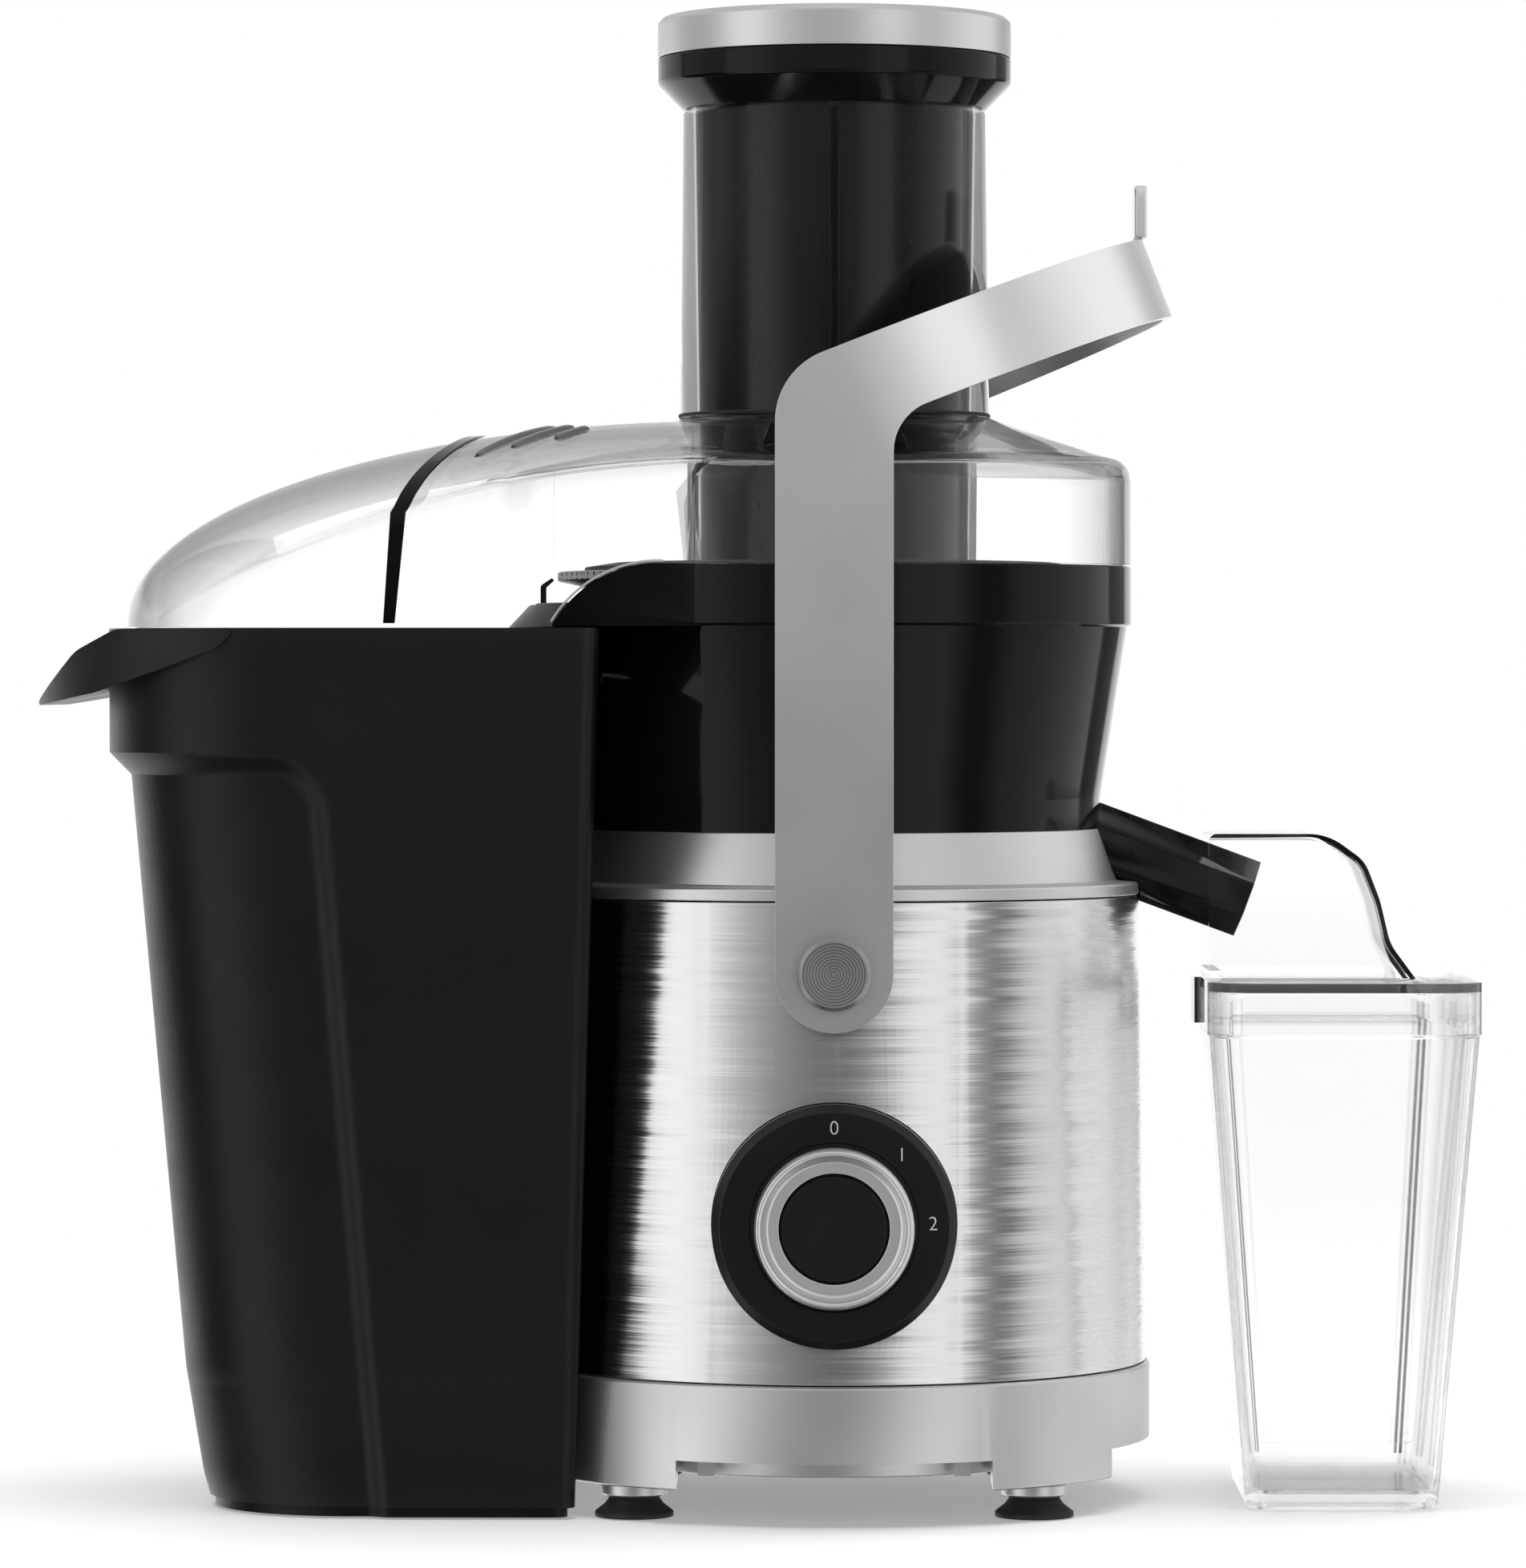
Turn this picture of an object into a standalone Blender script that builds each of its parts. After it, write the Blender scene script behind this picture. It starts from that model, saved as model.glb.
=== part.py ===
"""A centrifugal juicer, as the separate pieces it is put together from.

Lengths are in millimetres, measured from the motor axis at worktop height, and become metres in the
helpers. +X points to the juice jug, -Y to the front with the speed dial, +Z up. Every piece hangs
under the empty "juicer", which puts the motor axis where the whole object is centred on X = 0.
"""

import math

import bmesh
import bpy
from mathutils import Matrix, Vector

# Driving dimensions.
MM = 0.001
GAP = 0.3
MOTOR_X = 21.4
ROUND = 48
MEDIUM = 32
SMALL = 16

FOOT_OFFSET = 54.7
BASE_RADIUS = 88.4
LEG_TOP = 17.5
RING_TOP = 38.4
SLEEVE_TOP = 168.6
COLLAR_TOP = 187.2
BOWL_RIM = 260.3
BOWL_LEDGE = 244.1
RIM_RADIUS = 83.25
BAND_FLOOR = 243.3
PLASTIC = 2.4

CHUTE_FOOT = 301.9
CHUTE_TOP = 387.6
PUSHER_TOP = 414.1
DUCT_HALF = 74.0
DUCT_RUN = 168.2

PIVOT_Z = 149.7
ARM_TILT = math.radians(21.4)
ARM_RADIUS = 92.6
ARM_THICK = 2.8
ARM_HALF = 15.9
BAND_HEIGHT = 22.9
ARM_TOP = 317.8

DIAL_Z = 81.7
DIAL_FRONT = 102.0
GLAND_Z = 60.0

BIN_RIM = 242.7
BIN_HALF = 88.0
JUG_MIDDLE = 141.95
JUG_TOP = 142.9
LID_PLATE_TOP = 145.9
LID_HALF_X = 38.25
LID_HALF_Y = 57.0
SPOUT_SLOPE = math.radians(20.4)

# Colour, roughness and metallic value of each material.
MATERIALS = {
    "brushed_steel": ((0.58, 0.58, 0.58), 0.30, 1.0),
    "satin_silver": ((0.52, 0.53, 0.53), 0.38, 0.85),
    "gloss_black": ((0.012, 0.012, 0.013), 0.12, 0.0),
    "matte_black": ((0.020, 0.021, 0.021), 0.48, 0.0),
    "clear_plastic": ((0.86, 0.88, 0.88), 0.06, 0.0),
    "black_rubber": ((0.015, 0.015, 0.015), 0.70, 0.0),
    "bright_steel": ((0.62, 0.62, 0.62), 0.20, 1.0),
    "copper_wire": ((0.60, 0.26, 0.12), 0.35, 0.9),
    "circuit_board": ((0.02, 0.16, 0.07), 0.45, 0.0),
    "carbon": ((0.03, 0.03, 0.03), 0.60, 0.0),
}


def clear_scene():
    for obj in list(bpy.data.objects):
        bpy.data.objects.remove(obj, do_unlink=True)


def new_collection(name, hidden=False):
    collection = bpy.data.collections.new(name)
    collection.hide_render = hidden
    bpy.context.scene.collection.children.link(collection)
    return collection


clear_scene()
PARTS = new_collection("centrifugal_juicer")
CUTTERS = new_collection("cutters", hidden=True)


def new_material(name):
    colour, roughness, metallic = MATERIALS[name]
    material = bpy.data.materials.new(name)
    material.use_nodes = True
    shader = material.node_tree.nodes["Principled BSDF"]
    shader.inputs["Base Color"].default_value = (*colour, 1.0)
    shader.inputs["Roughness"].default_value = roughness
    shader.inputs["Metallic"].default_value = metallic
    if name == "clear_plastic":
        shader.inputs["Transmission Weight"].default_value = 1.0
    return material


MATERIAL = {name: new_material(name) for name in MATERIALS}


def empty_at(name, x, y, z, parent=None):
    """An empty on a joint's axis, which the pieces that move with it hang under."""
    empty = bpy.data.objects.new(name, None)
    empty.location = Vector((x, y, z)) * MM
    empty.empty_display_size = 0.02
    empty.parent = parent
    PARTS.objects.link(empty)
    return empty


JUICER = empty_at("juicer", MOTOR_X, 0, 0)
ROTOR = empty_at("rotor_axis", 0, 0, 0, JUICER)
LID = empty_at("lid_slide", 0, 0, BOWL_RIM, JUICER)
PUSHER = empty_at("pusher_slide", 0, 0, CHUTE_TOP - BOWL_RIM, LID)
ARM = empty_at("arm_axis", 0, 0, PIVOT_Z, JUICER)
DIAL = empty_at("dial_axis", 0, -DIAL_FRONT, DIAL_Z, JUICER)
BIN = empty_at("bin_slide", -130, 0, 0, JUICER)
JUG = empty_at("jug_slide", JUG_MIDDLE, 0, 0, JUICER)
JUG_LID = empty_at("jug_lid_slide", 0, 0, JUG_TOP, JUG)


def hang(obj, holder, material):
    """Hangs a finished piece under its holder, still placed in the juicer's own frame."""
    obj.data.materials.append(MATERIAL[material])
    obj.parent = holder
    offset = Vector((0, 0, 0))
    while holder is not JUICER:
        offset += holder.location
        holder = holder.parent
    obj.matrix_parent_inverse = Matrix.Translation(-offset)
    return obj


def new_object(name, mesh, location=(0, 0, 0), cutter=False):
    obj = bpy.data.objects.new(name, mesh)
    obj.location = Vector(location) * MM
    (CUTTERS if cutter else PARTS).objects.link(obj)
    obj.parent = JUICER
    if cutter:
        obj.hide_render = True
        obj.display_type = "WIRE"
    return obj


def mesh_of(name, build):
    """A mesh that build(bm) fills, shaded smooth except across edges sharper than 35 degrees."""
    mesh = bpy.data.meshes.new(name)
    bm = bmesh.new()
    build(bm)
    bmesh.ops.recalc_face_normals(bm, faces=bm.faces)
    bm.to_mesh(mesh)
    bm.free()
    mesh.shade_smooth()
    mesh.set_sharp_from_angle(angle=math.radians(35))
    return mesh


def turned(name, profile, steps=ROUND, at=(0, 0, 0), facing=(0, 0, 0), cutter=False):
    """A turned piece: (radius, height) points down the outer side and, for a ring, up the inner one."""
    points = [(radius * MM, 0, height * MM) for radius, height in profile]
    edges = [(i, i + 1) for i in range(len(points) - 1)]
    if profile[0][0] > 0:
        edges.append((len(points) - 1, 0))
    mesh = bpy.data.meshes.new(name)
    mesh.from_pydata(points, edges, [])
    obj = new_object(name, mesh, at, cutter)
    obj.rotation_euler = facing
    screw = obj.modifiers.new("turn", "SCREW")
    screw.steps = steps
    screw.render_steps = steps
    screw.use_merge_vertices = True
    screw.merge_threshold = 0.00001
    screw.use_smooth_shade = False
    return obj


FACING_FRONT = (math.radians(90), 0, 0)
FACING_REAR = (math.radians(-90), 0, 0)


def rod(name, radius, low, high, at=(0, 0), steps=MEDIUM, cutter=False):
    """An upright cylinder between two heights."""

    def build(bm):
        bmesh.ops.create_cone(
            bm,
            cap_ends=True,
            segments=steps,
            radius1=radius * MM,
            radius2=radius * MM,
            depth=(high - low) * MM,
        )

    return new_object(name, mesh_of(name, build), (*at, (low + high) / 2), cutter)


def cross_rod(name, radius, front, rear, z, steps=MEDIUM):
    """A cutter along Y."""
    obj = rod(name, radius, front, rear, steps=steps, cutter=True)
    obj.rotation_euler = FACING_FRONT
    obj.location = Vector((0, (front + rear) / 2, z)) * MM
    return obj


def add_block(bm, low, high):
    low, high = Vector(low) * MM, Vector(high) * MM
    cube = bmesh.ops.create_cube(bm, size=1)["verts"]
    size = high - low
    bmesh.ops.scale(bm, vec=size, verts=cube)
    bmesh.ops.translate(bm, vec=(low + high) / 2, verts=cube)


def block(name, low, high, cutter=False):
    """A box between two corners, with its origin at its middle."""
    middle = (Vector(low) + Vector(high)) / 2
    mesh = mesh_of(name, lambda bm: add_block(bm, Vector(low) - middle, Vector(high) - middle))
    return new_object(name, mesh, middle, cutter)


def blocks(name, corners, cutter=True):
    """Several boxes in one mesh."""

    def build(bm):
        for low, high in corners:
            add_block(bm, low, high)

    return new_object(name, mesh_of(name, build), cutter=cutter)


def flat(name, outline, thickness, y=0, facing=FACING_FRONT, cutter=False):
    """A filled 2D curve extruded to a thickness and made a mesh: an outline in XZ, unless turned."""
    curve = bpy.data.curves.new(name, "CURVE")
    curve.dimensions = "2D"
    curve.fill_mode = "BOTH"
    curve.extrude = thickness * MM / 2
    spline = curve.splines.new("POLY")
    spline.points.add(len(outline) - 1)
    for point, (x, z) in zip(spline.points, outline):
        point.co = (x * MM, z * MM, 0, 1)
    spline.use_cyclic_u = True
    drawn = bpy.data.objects.new(name + "_outline", curve)
    PARTS.objects.link(drawn)
    bpy.context.view_layer.update()
    graph = bpy.context.evaluated_depsgraph_get()
    mesh = bpy.data.meshes.new_from_object(drawn.evaluated_get(graph))
    bpy.data.objects.remove(drawn)
    bm = bmesh.new()
    bm.from_mesh(mesh)
    bmesh.ops.remove_doubles(bm, verts=bm.verts, dist=0.00001)
    bmesh.ops.recalc_face_normals(bm, faces=bm.faces)
    bm.to_mesh(mesh)
    bm.free()
    mesh.name = name
    obj = new_object(name, mesh, (0, y, 0), cutter)
    obj.rotation_euler = facing
    return obj


def loft(name, sections, cutter=False):
    """A skin over sections of equal point counts, closed by a cap at each end."""

    def build(bm):
        rings = [[bm.verts.new(Vector(p) * MM) for p in section] for section in sections]
        for near, far in zip(rings, rings[1:]):
            for i in range(len(near)):
                j = (i + 1) % len(near)
                bm.faces.new((near[i], near[j], far[j], far[i]))
        bm.faces.new(rings[0])
        bm.faces.new(rings[-1])

    return new_object(name, mesh_of(name, build), cutter=cutter)


def rounded(x_low, x_high, half, r_left, r_right, z, turns=4):
    """A rectangle in plan with round corners, as points at height z."""
    corners = [
        (x_high - r_right, half - r_right, r_right, 0),
        (x_low + r_left, half - r_left, r_left, 90),
        (x_low + r_left, r_left - half, r_left, 180),
        (x_high - r_right, r_right - half, r_right, 270),
    ]
    points = []
    for x, y, radius, start in corners:
        for i in range(turns + 1):
            angle = math.radians(start + 90 * i / turns)
            points.append((x + radius * math.cos(angle), y + radius * math.sin(angle), z))
    return points


def boolean(obj, operation, *others):
    for other in others:
        modifier = obj.modifiers.new(operation.lower() + "_" + other.name, "BOOLEAN")
        modifier.operation = operation
        modifier.object = other
    return obj


def cut(obj, *cutters):
    return boolean(obj, "DIFFERENCE", *cutters)


def join(obj, *others):
    return boolean(obj, "UNION", *others)


def keep(obj, *others):
    return boolean(obj, "INTERSECT", *others)


def arc(x, z, radius, start, end, turns=6):
    """Points on a circle, in degrees from +X towards +Z."""
    angles = [math.radians(start + (end - start) * i / turns) for i in range(turns + 1)]
    return [(x + radius * math.cos(a), z + radius * math.sin(a)) for a in angles]


# The base: everything that stays still.


def base_ring():
    ring = turned(
        "base_ring",
        [
            (BASE_RADIUS, RING_TOP),
            (BASE_RADIUS, 9.3),
            (66, 9.3),
            (66, 21),
            (84.6, 21),
            (84.6, RING_TOP),
        ],
    )
    gaps = blocks(
        "leg_gaps",
        [((-42.9, -100, 0), (42.9, 100, LEG_TOP)), ((-100, -44.5, 0), (100, 44.5, LEG_TOP - 0.1))],
    )
    cut(ring, gaps)
    hang(ring, JUICER, "satin_silver")


def bottom_plate():
    plate = turned("bottom_plate", [(0, 20.9), (65.6, 20.9), (65.6, 17.8), (0, 17.8)])
    slots = [((-30, y - 2, 10), (30, y + 2, 30)) for y in (-40, -28, -16, 16, 28, 40)]
    cut(plate, blocks("bottom_vents", slots))
    hang(plate, JUICER, "matte_black")


def feet():
    for side, x in (("left", -FOOT_OFFSET), ("right", FOOT_OFFSET)):
        for end, y in (("front", -FOOT_OFFSET), ("rear", FOOT_OFFSET)):
            pad = turned(
                f"foot_pad_{end}_{side}",
                [(0, 5.5), (7, 5.5), (10.8, 1.2), (10.8, 0), (0, 0)],
                SMALL,
                (x, y, 0),
            )
            hang(pad, JUICER, "black_rubber")
            collar = rod(f"foot_collar_{end}_{side}", 9, 5.8, 9.0, (x, y), SMALL)
            hang(collar, JUICER, "satin_silver")


def steel_sleeve():
    sleeve = turned(
        "steel_sleeve", [(85.3, SLEEVE_TOP), (87.3, 38.7), (85.8, 38.7), (83.8, SLEEVE_TOP)]
    )
    cut(
        sleeve,
        cross_rod("dial_hole", 33.3, -110, -40, DIAL_Z),
        cross_rod("pivot_holes", 6.3, -110, 110, PIVOT_Z, SMALL),
        cross_rod("gland_hole", 9.3, 40, 110, GLAND_Z, SMALL),
        spout_bar("sleeve_notch", 11, 0.6, 60, 0, True),
    )
    hang(sleeve, JUICER, "brushed_steel")


def spout_bar(name, half, grow, inward, outward, cutter):
    """A bar along the spout's slope, half as wide as its flats and grown by a clearance."""
    cos, sin = math.cos(SPOUT_SLOPE), math.sin(SPOUT_SLOPE)
    mouth = (115.6, 167.4)
    sections = []
    for along in (-inward, outward):
        x, z = mouth[0] + along * cos, mouth[1] - along * sin
        section = []
        reach = half + grow
        for i in range(8):
            angle = math.radians(22.5 + 45 * i)
            across = reach * math.cos(angle) / math.cos(math.radians(22.5))
            up = reach * math.sin(angle) / math.cos(math.radians(22.5))
            section.append((x + up * sin, across, z + up * cos))
        sections.append(section)
    return loft(name, sections, cutter)


def top_collar():
    collar = turned(
        "top_collar",
        [
            (74.5, COLLAR_TOP),
            (79.0, 172.6),
            (85.4, 172.2),
            (85.4, 168.9),
            (80.5, 168.9),
            (76.0, 171.5),
            (71.9, COLLAR_TOP),
        ],
    )
    cut(collar, spout_bar("collar_notch", 11, 0.6, 60, 0, True))
    hang(collar, JUICER, "satin_silver")


def motor_deck():
    deck = turned(
        "motor_deck", [(18, 187.0), (18, 184.0), (71.6, 184.0), (71.6, 180.5), (12, 180.5), (12, 187)]
    )
    cut(deck, spout_bar("deck_notch", 11, 0.6, 60, 0, True))
    hang(deck, JUICER, "matte_black")


def rim_arc(grow=0.0):
    """The quarter round by which the bowl's rim falls to its pulp outlet, seen from the front."""
    return arc(-47.5, 226.9, 33.4 + grow, 90, 150, 6)


def juice_bowl():
    bowl = turned(
        "juice_bowl",
        [
            (RIM_RADIUS, BOWL_RIM),
            (RIM_RADIUS, BOWL_LEDGE),
            (82.0, 243.4),
            (74.5, 195.7),
            (72.9, 187.5),
            (14, 187.5),
            (14, 203),
            (17, 203),
            (17, 190.5),
            (70.0, 190.5),
            (71.9, 196.5),
            (79.3, 243.5),
            (80.75, 245.0),
            (80.75, BOWL_RIM),
        ],
    )
    gutter = flat(
        "bowl_gutter",
        [(-76.5, BAND_FLOOR), (-30, BAND_FLOOR), (-30, BOWL_RIM - 0.1)] + rim_arc(),
        2 * DUCT_HALF,
        cutter=True,
    )
    inside = turned(
        "bowl_inside",
        [(0, 270), (80.7, 270), (80.7, 245.0), (79.2, 243.5), (75.8, 222), (0, 222)],
        cutter=True,
    )
    outlet = block("pulp_outlet", (-120, 2.4 - DUCT_HALF, 245.6), (-30, DUCT_HALF - 2.4, 280), True)
    lip = turned(
        "outlet_lip",
        [(86, 250), (91.5, BAND_FLOOR), (81.5, BAND_FLOOR), (79.5, 250)],
        cutter=True,
    )
    keep(lip, block("lip_reach", (-95, -50, 240), (-50, 50, 255), True))
    join(bowl, gutter)
    cut(bowl, inside, outlet)
    join(bowl, lip, spout_bar("spout_outside", 11, 0, 57, 0, True))
    cut(bowl, spout_bar("spout_bore", 8.5, 0, 52.5, 5, True))
    hang(bowl, JUICER, "gloss_black")


def motor():
    core = [(45, 120), (45, 66.3), (27, 66.3), (27, 120)]
    hang(turned("stator_core", core, MEDIUM), JUICER, "bright_steel")
    winding = [(42, 131), (43, 120.3), (28, 120.3), (30, 131)]
    hang(turned("field_winding", winding, MEDIUM), JUICER, "copper_wire")
    lower = [(52, 66), (52, 62.5), (15, 62.5), (15, 51), (11.3, 51), (11.3, 66)]
    hang(turned("motor_bracket_bottom", lower, MEDIUM), JUICER, "bright_steel")
    upper = [(15, 174), (15, 164), (52, 164), (52, 160), (11.3, 160), (11.3, 174)]
    hang(turned("motor_bracket_top", upper, MEDIUM), JUICER, "bright_steel")
    for name, low in (("bearing_bottom", 53), ("bearing_top", 164)):
        race = [(11, low + 8), (11, low), (4.3, low), (4.3, low + 8)]
        hang(turned(name, race, MEDIUM), JUICER, "bright_steel")
    for i in range(3):
        angle = math.radians(90 + 120 * i)
        at = (38 * math.cos(angle), 38 * math.sin(angle))
        hang(rod(f"motor_mount_{i + 1}", 5, 164.3, 180.2, at, SMALL), JUICER, "black_rubber")
    for side, x in (("left", -48.5), ("right", 48.5)):
        hang(rod(f"motor_bolt_{side}", 2, 66.3, 159.7, (x, 0), SMALL), JUICER, "bright_steel")
    for side, x in (("left", -1), ("right", 1)):
        ends = sorted((11.4 * x, 26 * x))
        brush = block(f"carbon_brush_{side}", (ends[0], -3, 137), (ends[1], 3, 145))
        hang(brush, JUICER, "carbon")


def dial_bezel():
    bezel = turned(
        "knob_bezel",
        [(30.5, 92.5), (33.0, 90.0), (33.0, 78), (16, 78), (16, 66.3), (3.4, 66.3), (3.4, 92.5)],
        at=(0, 0, DIAL_Z),
        facing=FACING_FRONT,
    )
    hang(bezel, JUICER, "gloss_black")


def electrics():
    hang(block("speed_switch", (-14, -66, 67.7), (14, -53, 95.7)), JUICER, "matte_black")
    hang(block("interlock_switch", (-9, -77.3, 142), (9, -69, 158)), JUICER, "matte_black")
    hang(block("control_board", (55, -22, 21.3), (57, 22, 72)), JUICER, "circuit_board")
    gland = turned(
        "power_cord_gland",
        [
            (6.0, DIAL_FRONT),
            (8.0, 91),
            (13, 91),
            (13, 87.9),
            (9, 87.9),
            (9, 78),
            (3.7, 78),
            (3.7, DIAL_FRONT),
        ],
        MEDIUM,
        (0, 0, GLAND_Z),
        FACING_REAR,
    )
    hang(gland, JUICER, "black_rubber")


def arm_pivots():
    for end, facing in (("front", FACING_FRONT), ("rear", FACING_REAR)):
        bolt = turned(
            f"arm_pivot_{end}",
            [(0, 96.4), (9.0, 96.4), (9.9, 95.6), (9.9, 92.9), (6, 92.9), (6, 77.6), (0, 77.6)],
            MEDIUM,
            (0, 0, PIVOT_Z),
            facing,
        )
        hang(bolt, JUICER, "brushed_steel")
        spacer = [(12, 89.5), (12, 86.1), (6.3, 86.1), (6.3, 89.5)]
        ring = turned(f"arm_spacer_{end}", spacer, MEDIUM, (0, 0, PIVOT_Z), facing)
        hang(ring, JUICER, "matte_black")


# The rotor: motor shaft, basket and all that spins with them.


def rotor():
    hang(rod("motor_shaft", 4, 48, 200.7, steps=SMALL), ROTOR, "bright_steel")
    for name, outer, low, high, material in (
        ("rotor_core", 25.5, 70, 116, "bright_steel"),
        ("commutator", 11, 134, 148, "copper_wire"),
    ):
        ring = [(outer, high), (outer, low), (4.3, low), (4.3, high)]
        hang(turned(name, ring, MEDIUM), ROTOR, material)
    coupling = [(0, 206.7), (6.2, 206.7), (6.2, 202.9), (11.7, 202.9), (11.7, 188), (4.3, 188)]
    hang(turned("drive_coupling", coupling + [(4.3, 201), (0, 201)], MEDIUM), ROTOR, "matte_black")
    hub = [(0, 213), (6, 212), (12, 209), (12, 203.4), (6.5, 203.4), (6.5, 207), (0, 207)]
    hang(turned("basket_hub", hub, MEDIUM), ROTOR, "matte_black")
    cone = [(77.5, 257.5), (77.5, 256.1), (71.2, 254.5), (46, 205), (12.3, 205), (12.3, 206.9)]
    cone += [(44.7, 206.9), (69.9, 256.2), (70.2, 257.5)]
    hang(turned("filter_basket", cone), ROTOR, "bright_steel")
    disc = [(43.5, 208.6), (43.5, 207.2), (12.6, 207.2), (12.6, 208.6)]
    hang(turned("grater_disc", disc), ROTOR, "bright_steel")


def cooling_fan():
    disc = [(14, 157), (14, 153), (34, 153), (34, 151), (4.3, 151), (4.3, 157)]
    fan = turned("cooling_fan", disc, MEDIUM)

    def build(bm):
        for i in range(8):
            before = set(bm.verts)
            add_block(bm, (15.5, -0.8, 152), (33, 0.8, 158))
            made = [v for v in bm.verts if v not in before]
            bmesh.ops.rotate(bm, verts=made, matrix=Matrix.Rotation(math.radians(45 * i), 3, "Z"))

    join(fan, new_object("fan_blades", mesh_of("fan_blades", build), cutter=True))
    hang(fan, ROTOR, "matte_black")


# The lid: clear dome, pulp duct and feed chute.


DOME = [(44.5, 301.9), (74, 291.8), (80.5, 290), (82.6, 287.6), (RIM_RADIUS, 284)]
DUCT_NEAR = (0, 0.104, 0.14, 0.19, 0.24, 0.28, 0.39, 0.5)
DUCT_FAR = (0.63, 0.74, 0.83, 0.9, 0.945, 0.975, 0.993, 1)


def duct_half(x, inset):
    """Half the duct's width at x: it rounds off in plan over its last 48 mm."""
    past = max(0.0, (-150 - x) / (48.2 - inset))
    return max(2.0, (DUCT_HALF - inset) * math.sqrt(max(0.0, 1 - past**2)))


def duct_crown(x, inset):
    along = min(1.0, (-30 - x) / (DUCT_RUN - inset))
    return BAND_FLOOR + 1.6 + (56.4 - inset) * math.sqrt(1 - along**2)


def duct_edge(x, inset):
    along = min(1.0, (-30 - x) / (157.5 - inset))
    return BAND_FLOOR + 1.0 + (45.5 - inset) * (1 - along**2)


def duct_foot(x):
    """The duct's lower edge, which follows the rim of the bowl's outlet."""
    reach = 33.4 + 2 * GAP
    if x > -47.5:
        return BOWL_RIM + GAP
    if x < -76.9:
        return BAND_FLOOR
    return 226.9 + math.sqrt(reach**2 - (x + 47.5) ** 2)


def duct_roof(x, y, inset=0.0):
    low, high = duct_edge(x, inset), duct_crown(x, inset)
    return low + (high - low) * (1 - (y / duct_half(x, inset)) ** 2)


def duct(name, inset, drop):
    sections = []
    for step in reversed(DUCT_NEAR + DUCT_FAR):
        x = -30 - step * (DUCT_RUN - inset)
        half, foot = duct_half(x, inset), duct_foot(x) - drop
        across = [half * share for share in (-1, -0.9, -0.7, -0.45, -0.2, 0, 0.2, 0.45, 0.7, 0.9, 1)]
        section = [(x, y, duct_roof(x, y, inset)) for y in across]
        sections.append([(x, -half, foot)] + section + [(x, half, foot)])
    return loft(name, sections, cutter=True)


def lid_shell():
    lid = turned(
        "lid_shell", [(0, CHUTE_FOOT)] + DOME + [(RIM_RADIUS, BOWL_RIM + GAP), (0, BOWL_RIM + GAP)]
    )
    hollow = [(0, 299.5), (43.7, 299.5), (73.4, 289.3), (79.2, 287.7), (80.85, 284), (80.85, 250)]
    join(lid, duct("duct_outside", 0, 0))
    cut(
        lid,
        turned("lid_inside", hollow + [(0, 250)], cutter=True),
        duct("duct_inside", PLASTIC, 8),
        rod("chute_hole", 40.5, 290, 310, steps=ROUND, cutter=True),
    )
    hang(lid, LID, "clear_plastic")


def feed_chute():
    chute = turned(
        "feed_chute",
        [(42.3, CHUTE_TOP), (43.4, 302.2), (40.1, 302.2), (39.4, 214.5), (37.2, 214.5), (39.4, CHUTE_TOP)],
    )
    hang(chute, LID, "clear_plastic")


def lid_catches():
    shoulder = [(0, 302.2), (44.6, 302.2), (74.1, 292.1), (80.7, 290.4), (84, 287), (84, 250), (0, 250)]
    for end, y in (("front", -63), ("rear", 63)):
        outline = [(-21.5, 288), (21.5, 288), (17, 299.4), (-17, 299.4)]
        catch = flat(f"lid_catch_{end}", outline, 14, y)
        cut(catch, turned(f"dome_clearance_{end}", shoulder, cutter=True))
        hang(catch, LID, "gloss_black")


def duct_seam():
    """The seal strip that runs up one wall of the duct, over its roof and down the other."""
    near, far, half_width = 0.7, 1.7, 2.0
    stations = []
    for z in (246, 262, 274):
        stations.append((-116 - 5 * (277 - z) / 31, -DUCT_HALF, z, (0, -1, 0)))
    stations.append((-115.5, -DUCT_HALF, duct_edge(-115.5, 0), (0, -0.8, 0.8)))
    for y in (-66, -50, -34, -17, 0):
        x = -99 - 17 * (y / DUCT_HALF) ** 2
        stations.append((x, y, duct_roof(x, y), (0, 0.1 * y / DUCT_HALF, 1)))
    mirrored = [(x, -y, z, (0, -n[1], n[2])) for x, y, z, n in reversed(stations[:-1])]
    sections = []
    for x, y, z, normal in stations + mirrored:
        middle, out = Vector((x, y, z)), Vector(normal)
        side = Vector((half_width, 0, 0))
        sections.append(
            [middle + out * near - side, middle + out * near + side]
            + [middle + out * far + side, middle + out * far - side]
        )
    hang(loft("duct_seam", sections), LID, "black_rubber")


def pusher():
    body = [(0, 218.5), (34.5, 218.5), (36.4, 398), (44, 402.9), (49.4, 402.9), (49.4, 395.3)]
    body += [(42.3, 388), (38.9, 388), (36.7, 216), (0, 216)]
    hang(turned("pusher_body", body), PUSHER, "gloss_black")
    cap = [(0, PUSHER_TOP), (46.8, PUSHER_TOP), (48.7, 413.4), (49.4, 411.8), (49.4, 403.2), (0, 403.2)]
    hang(turned("pusher_cap", cap), PUSHER, "satin_silver")


# The locking arm, the dial, the pulp bin and the jug.


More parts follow.
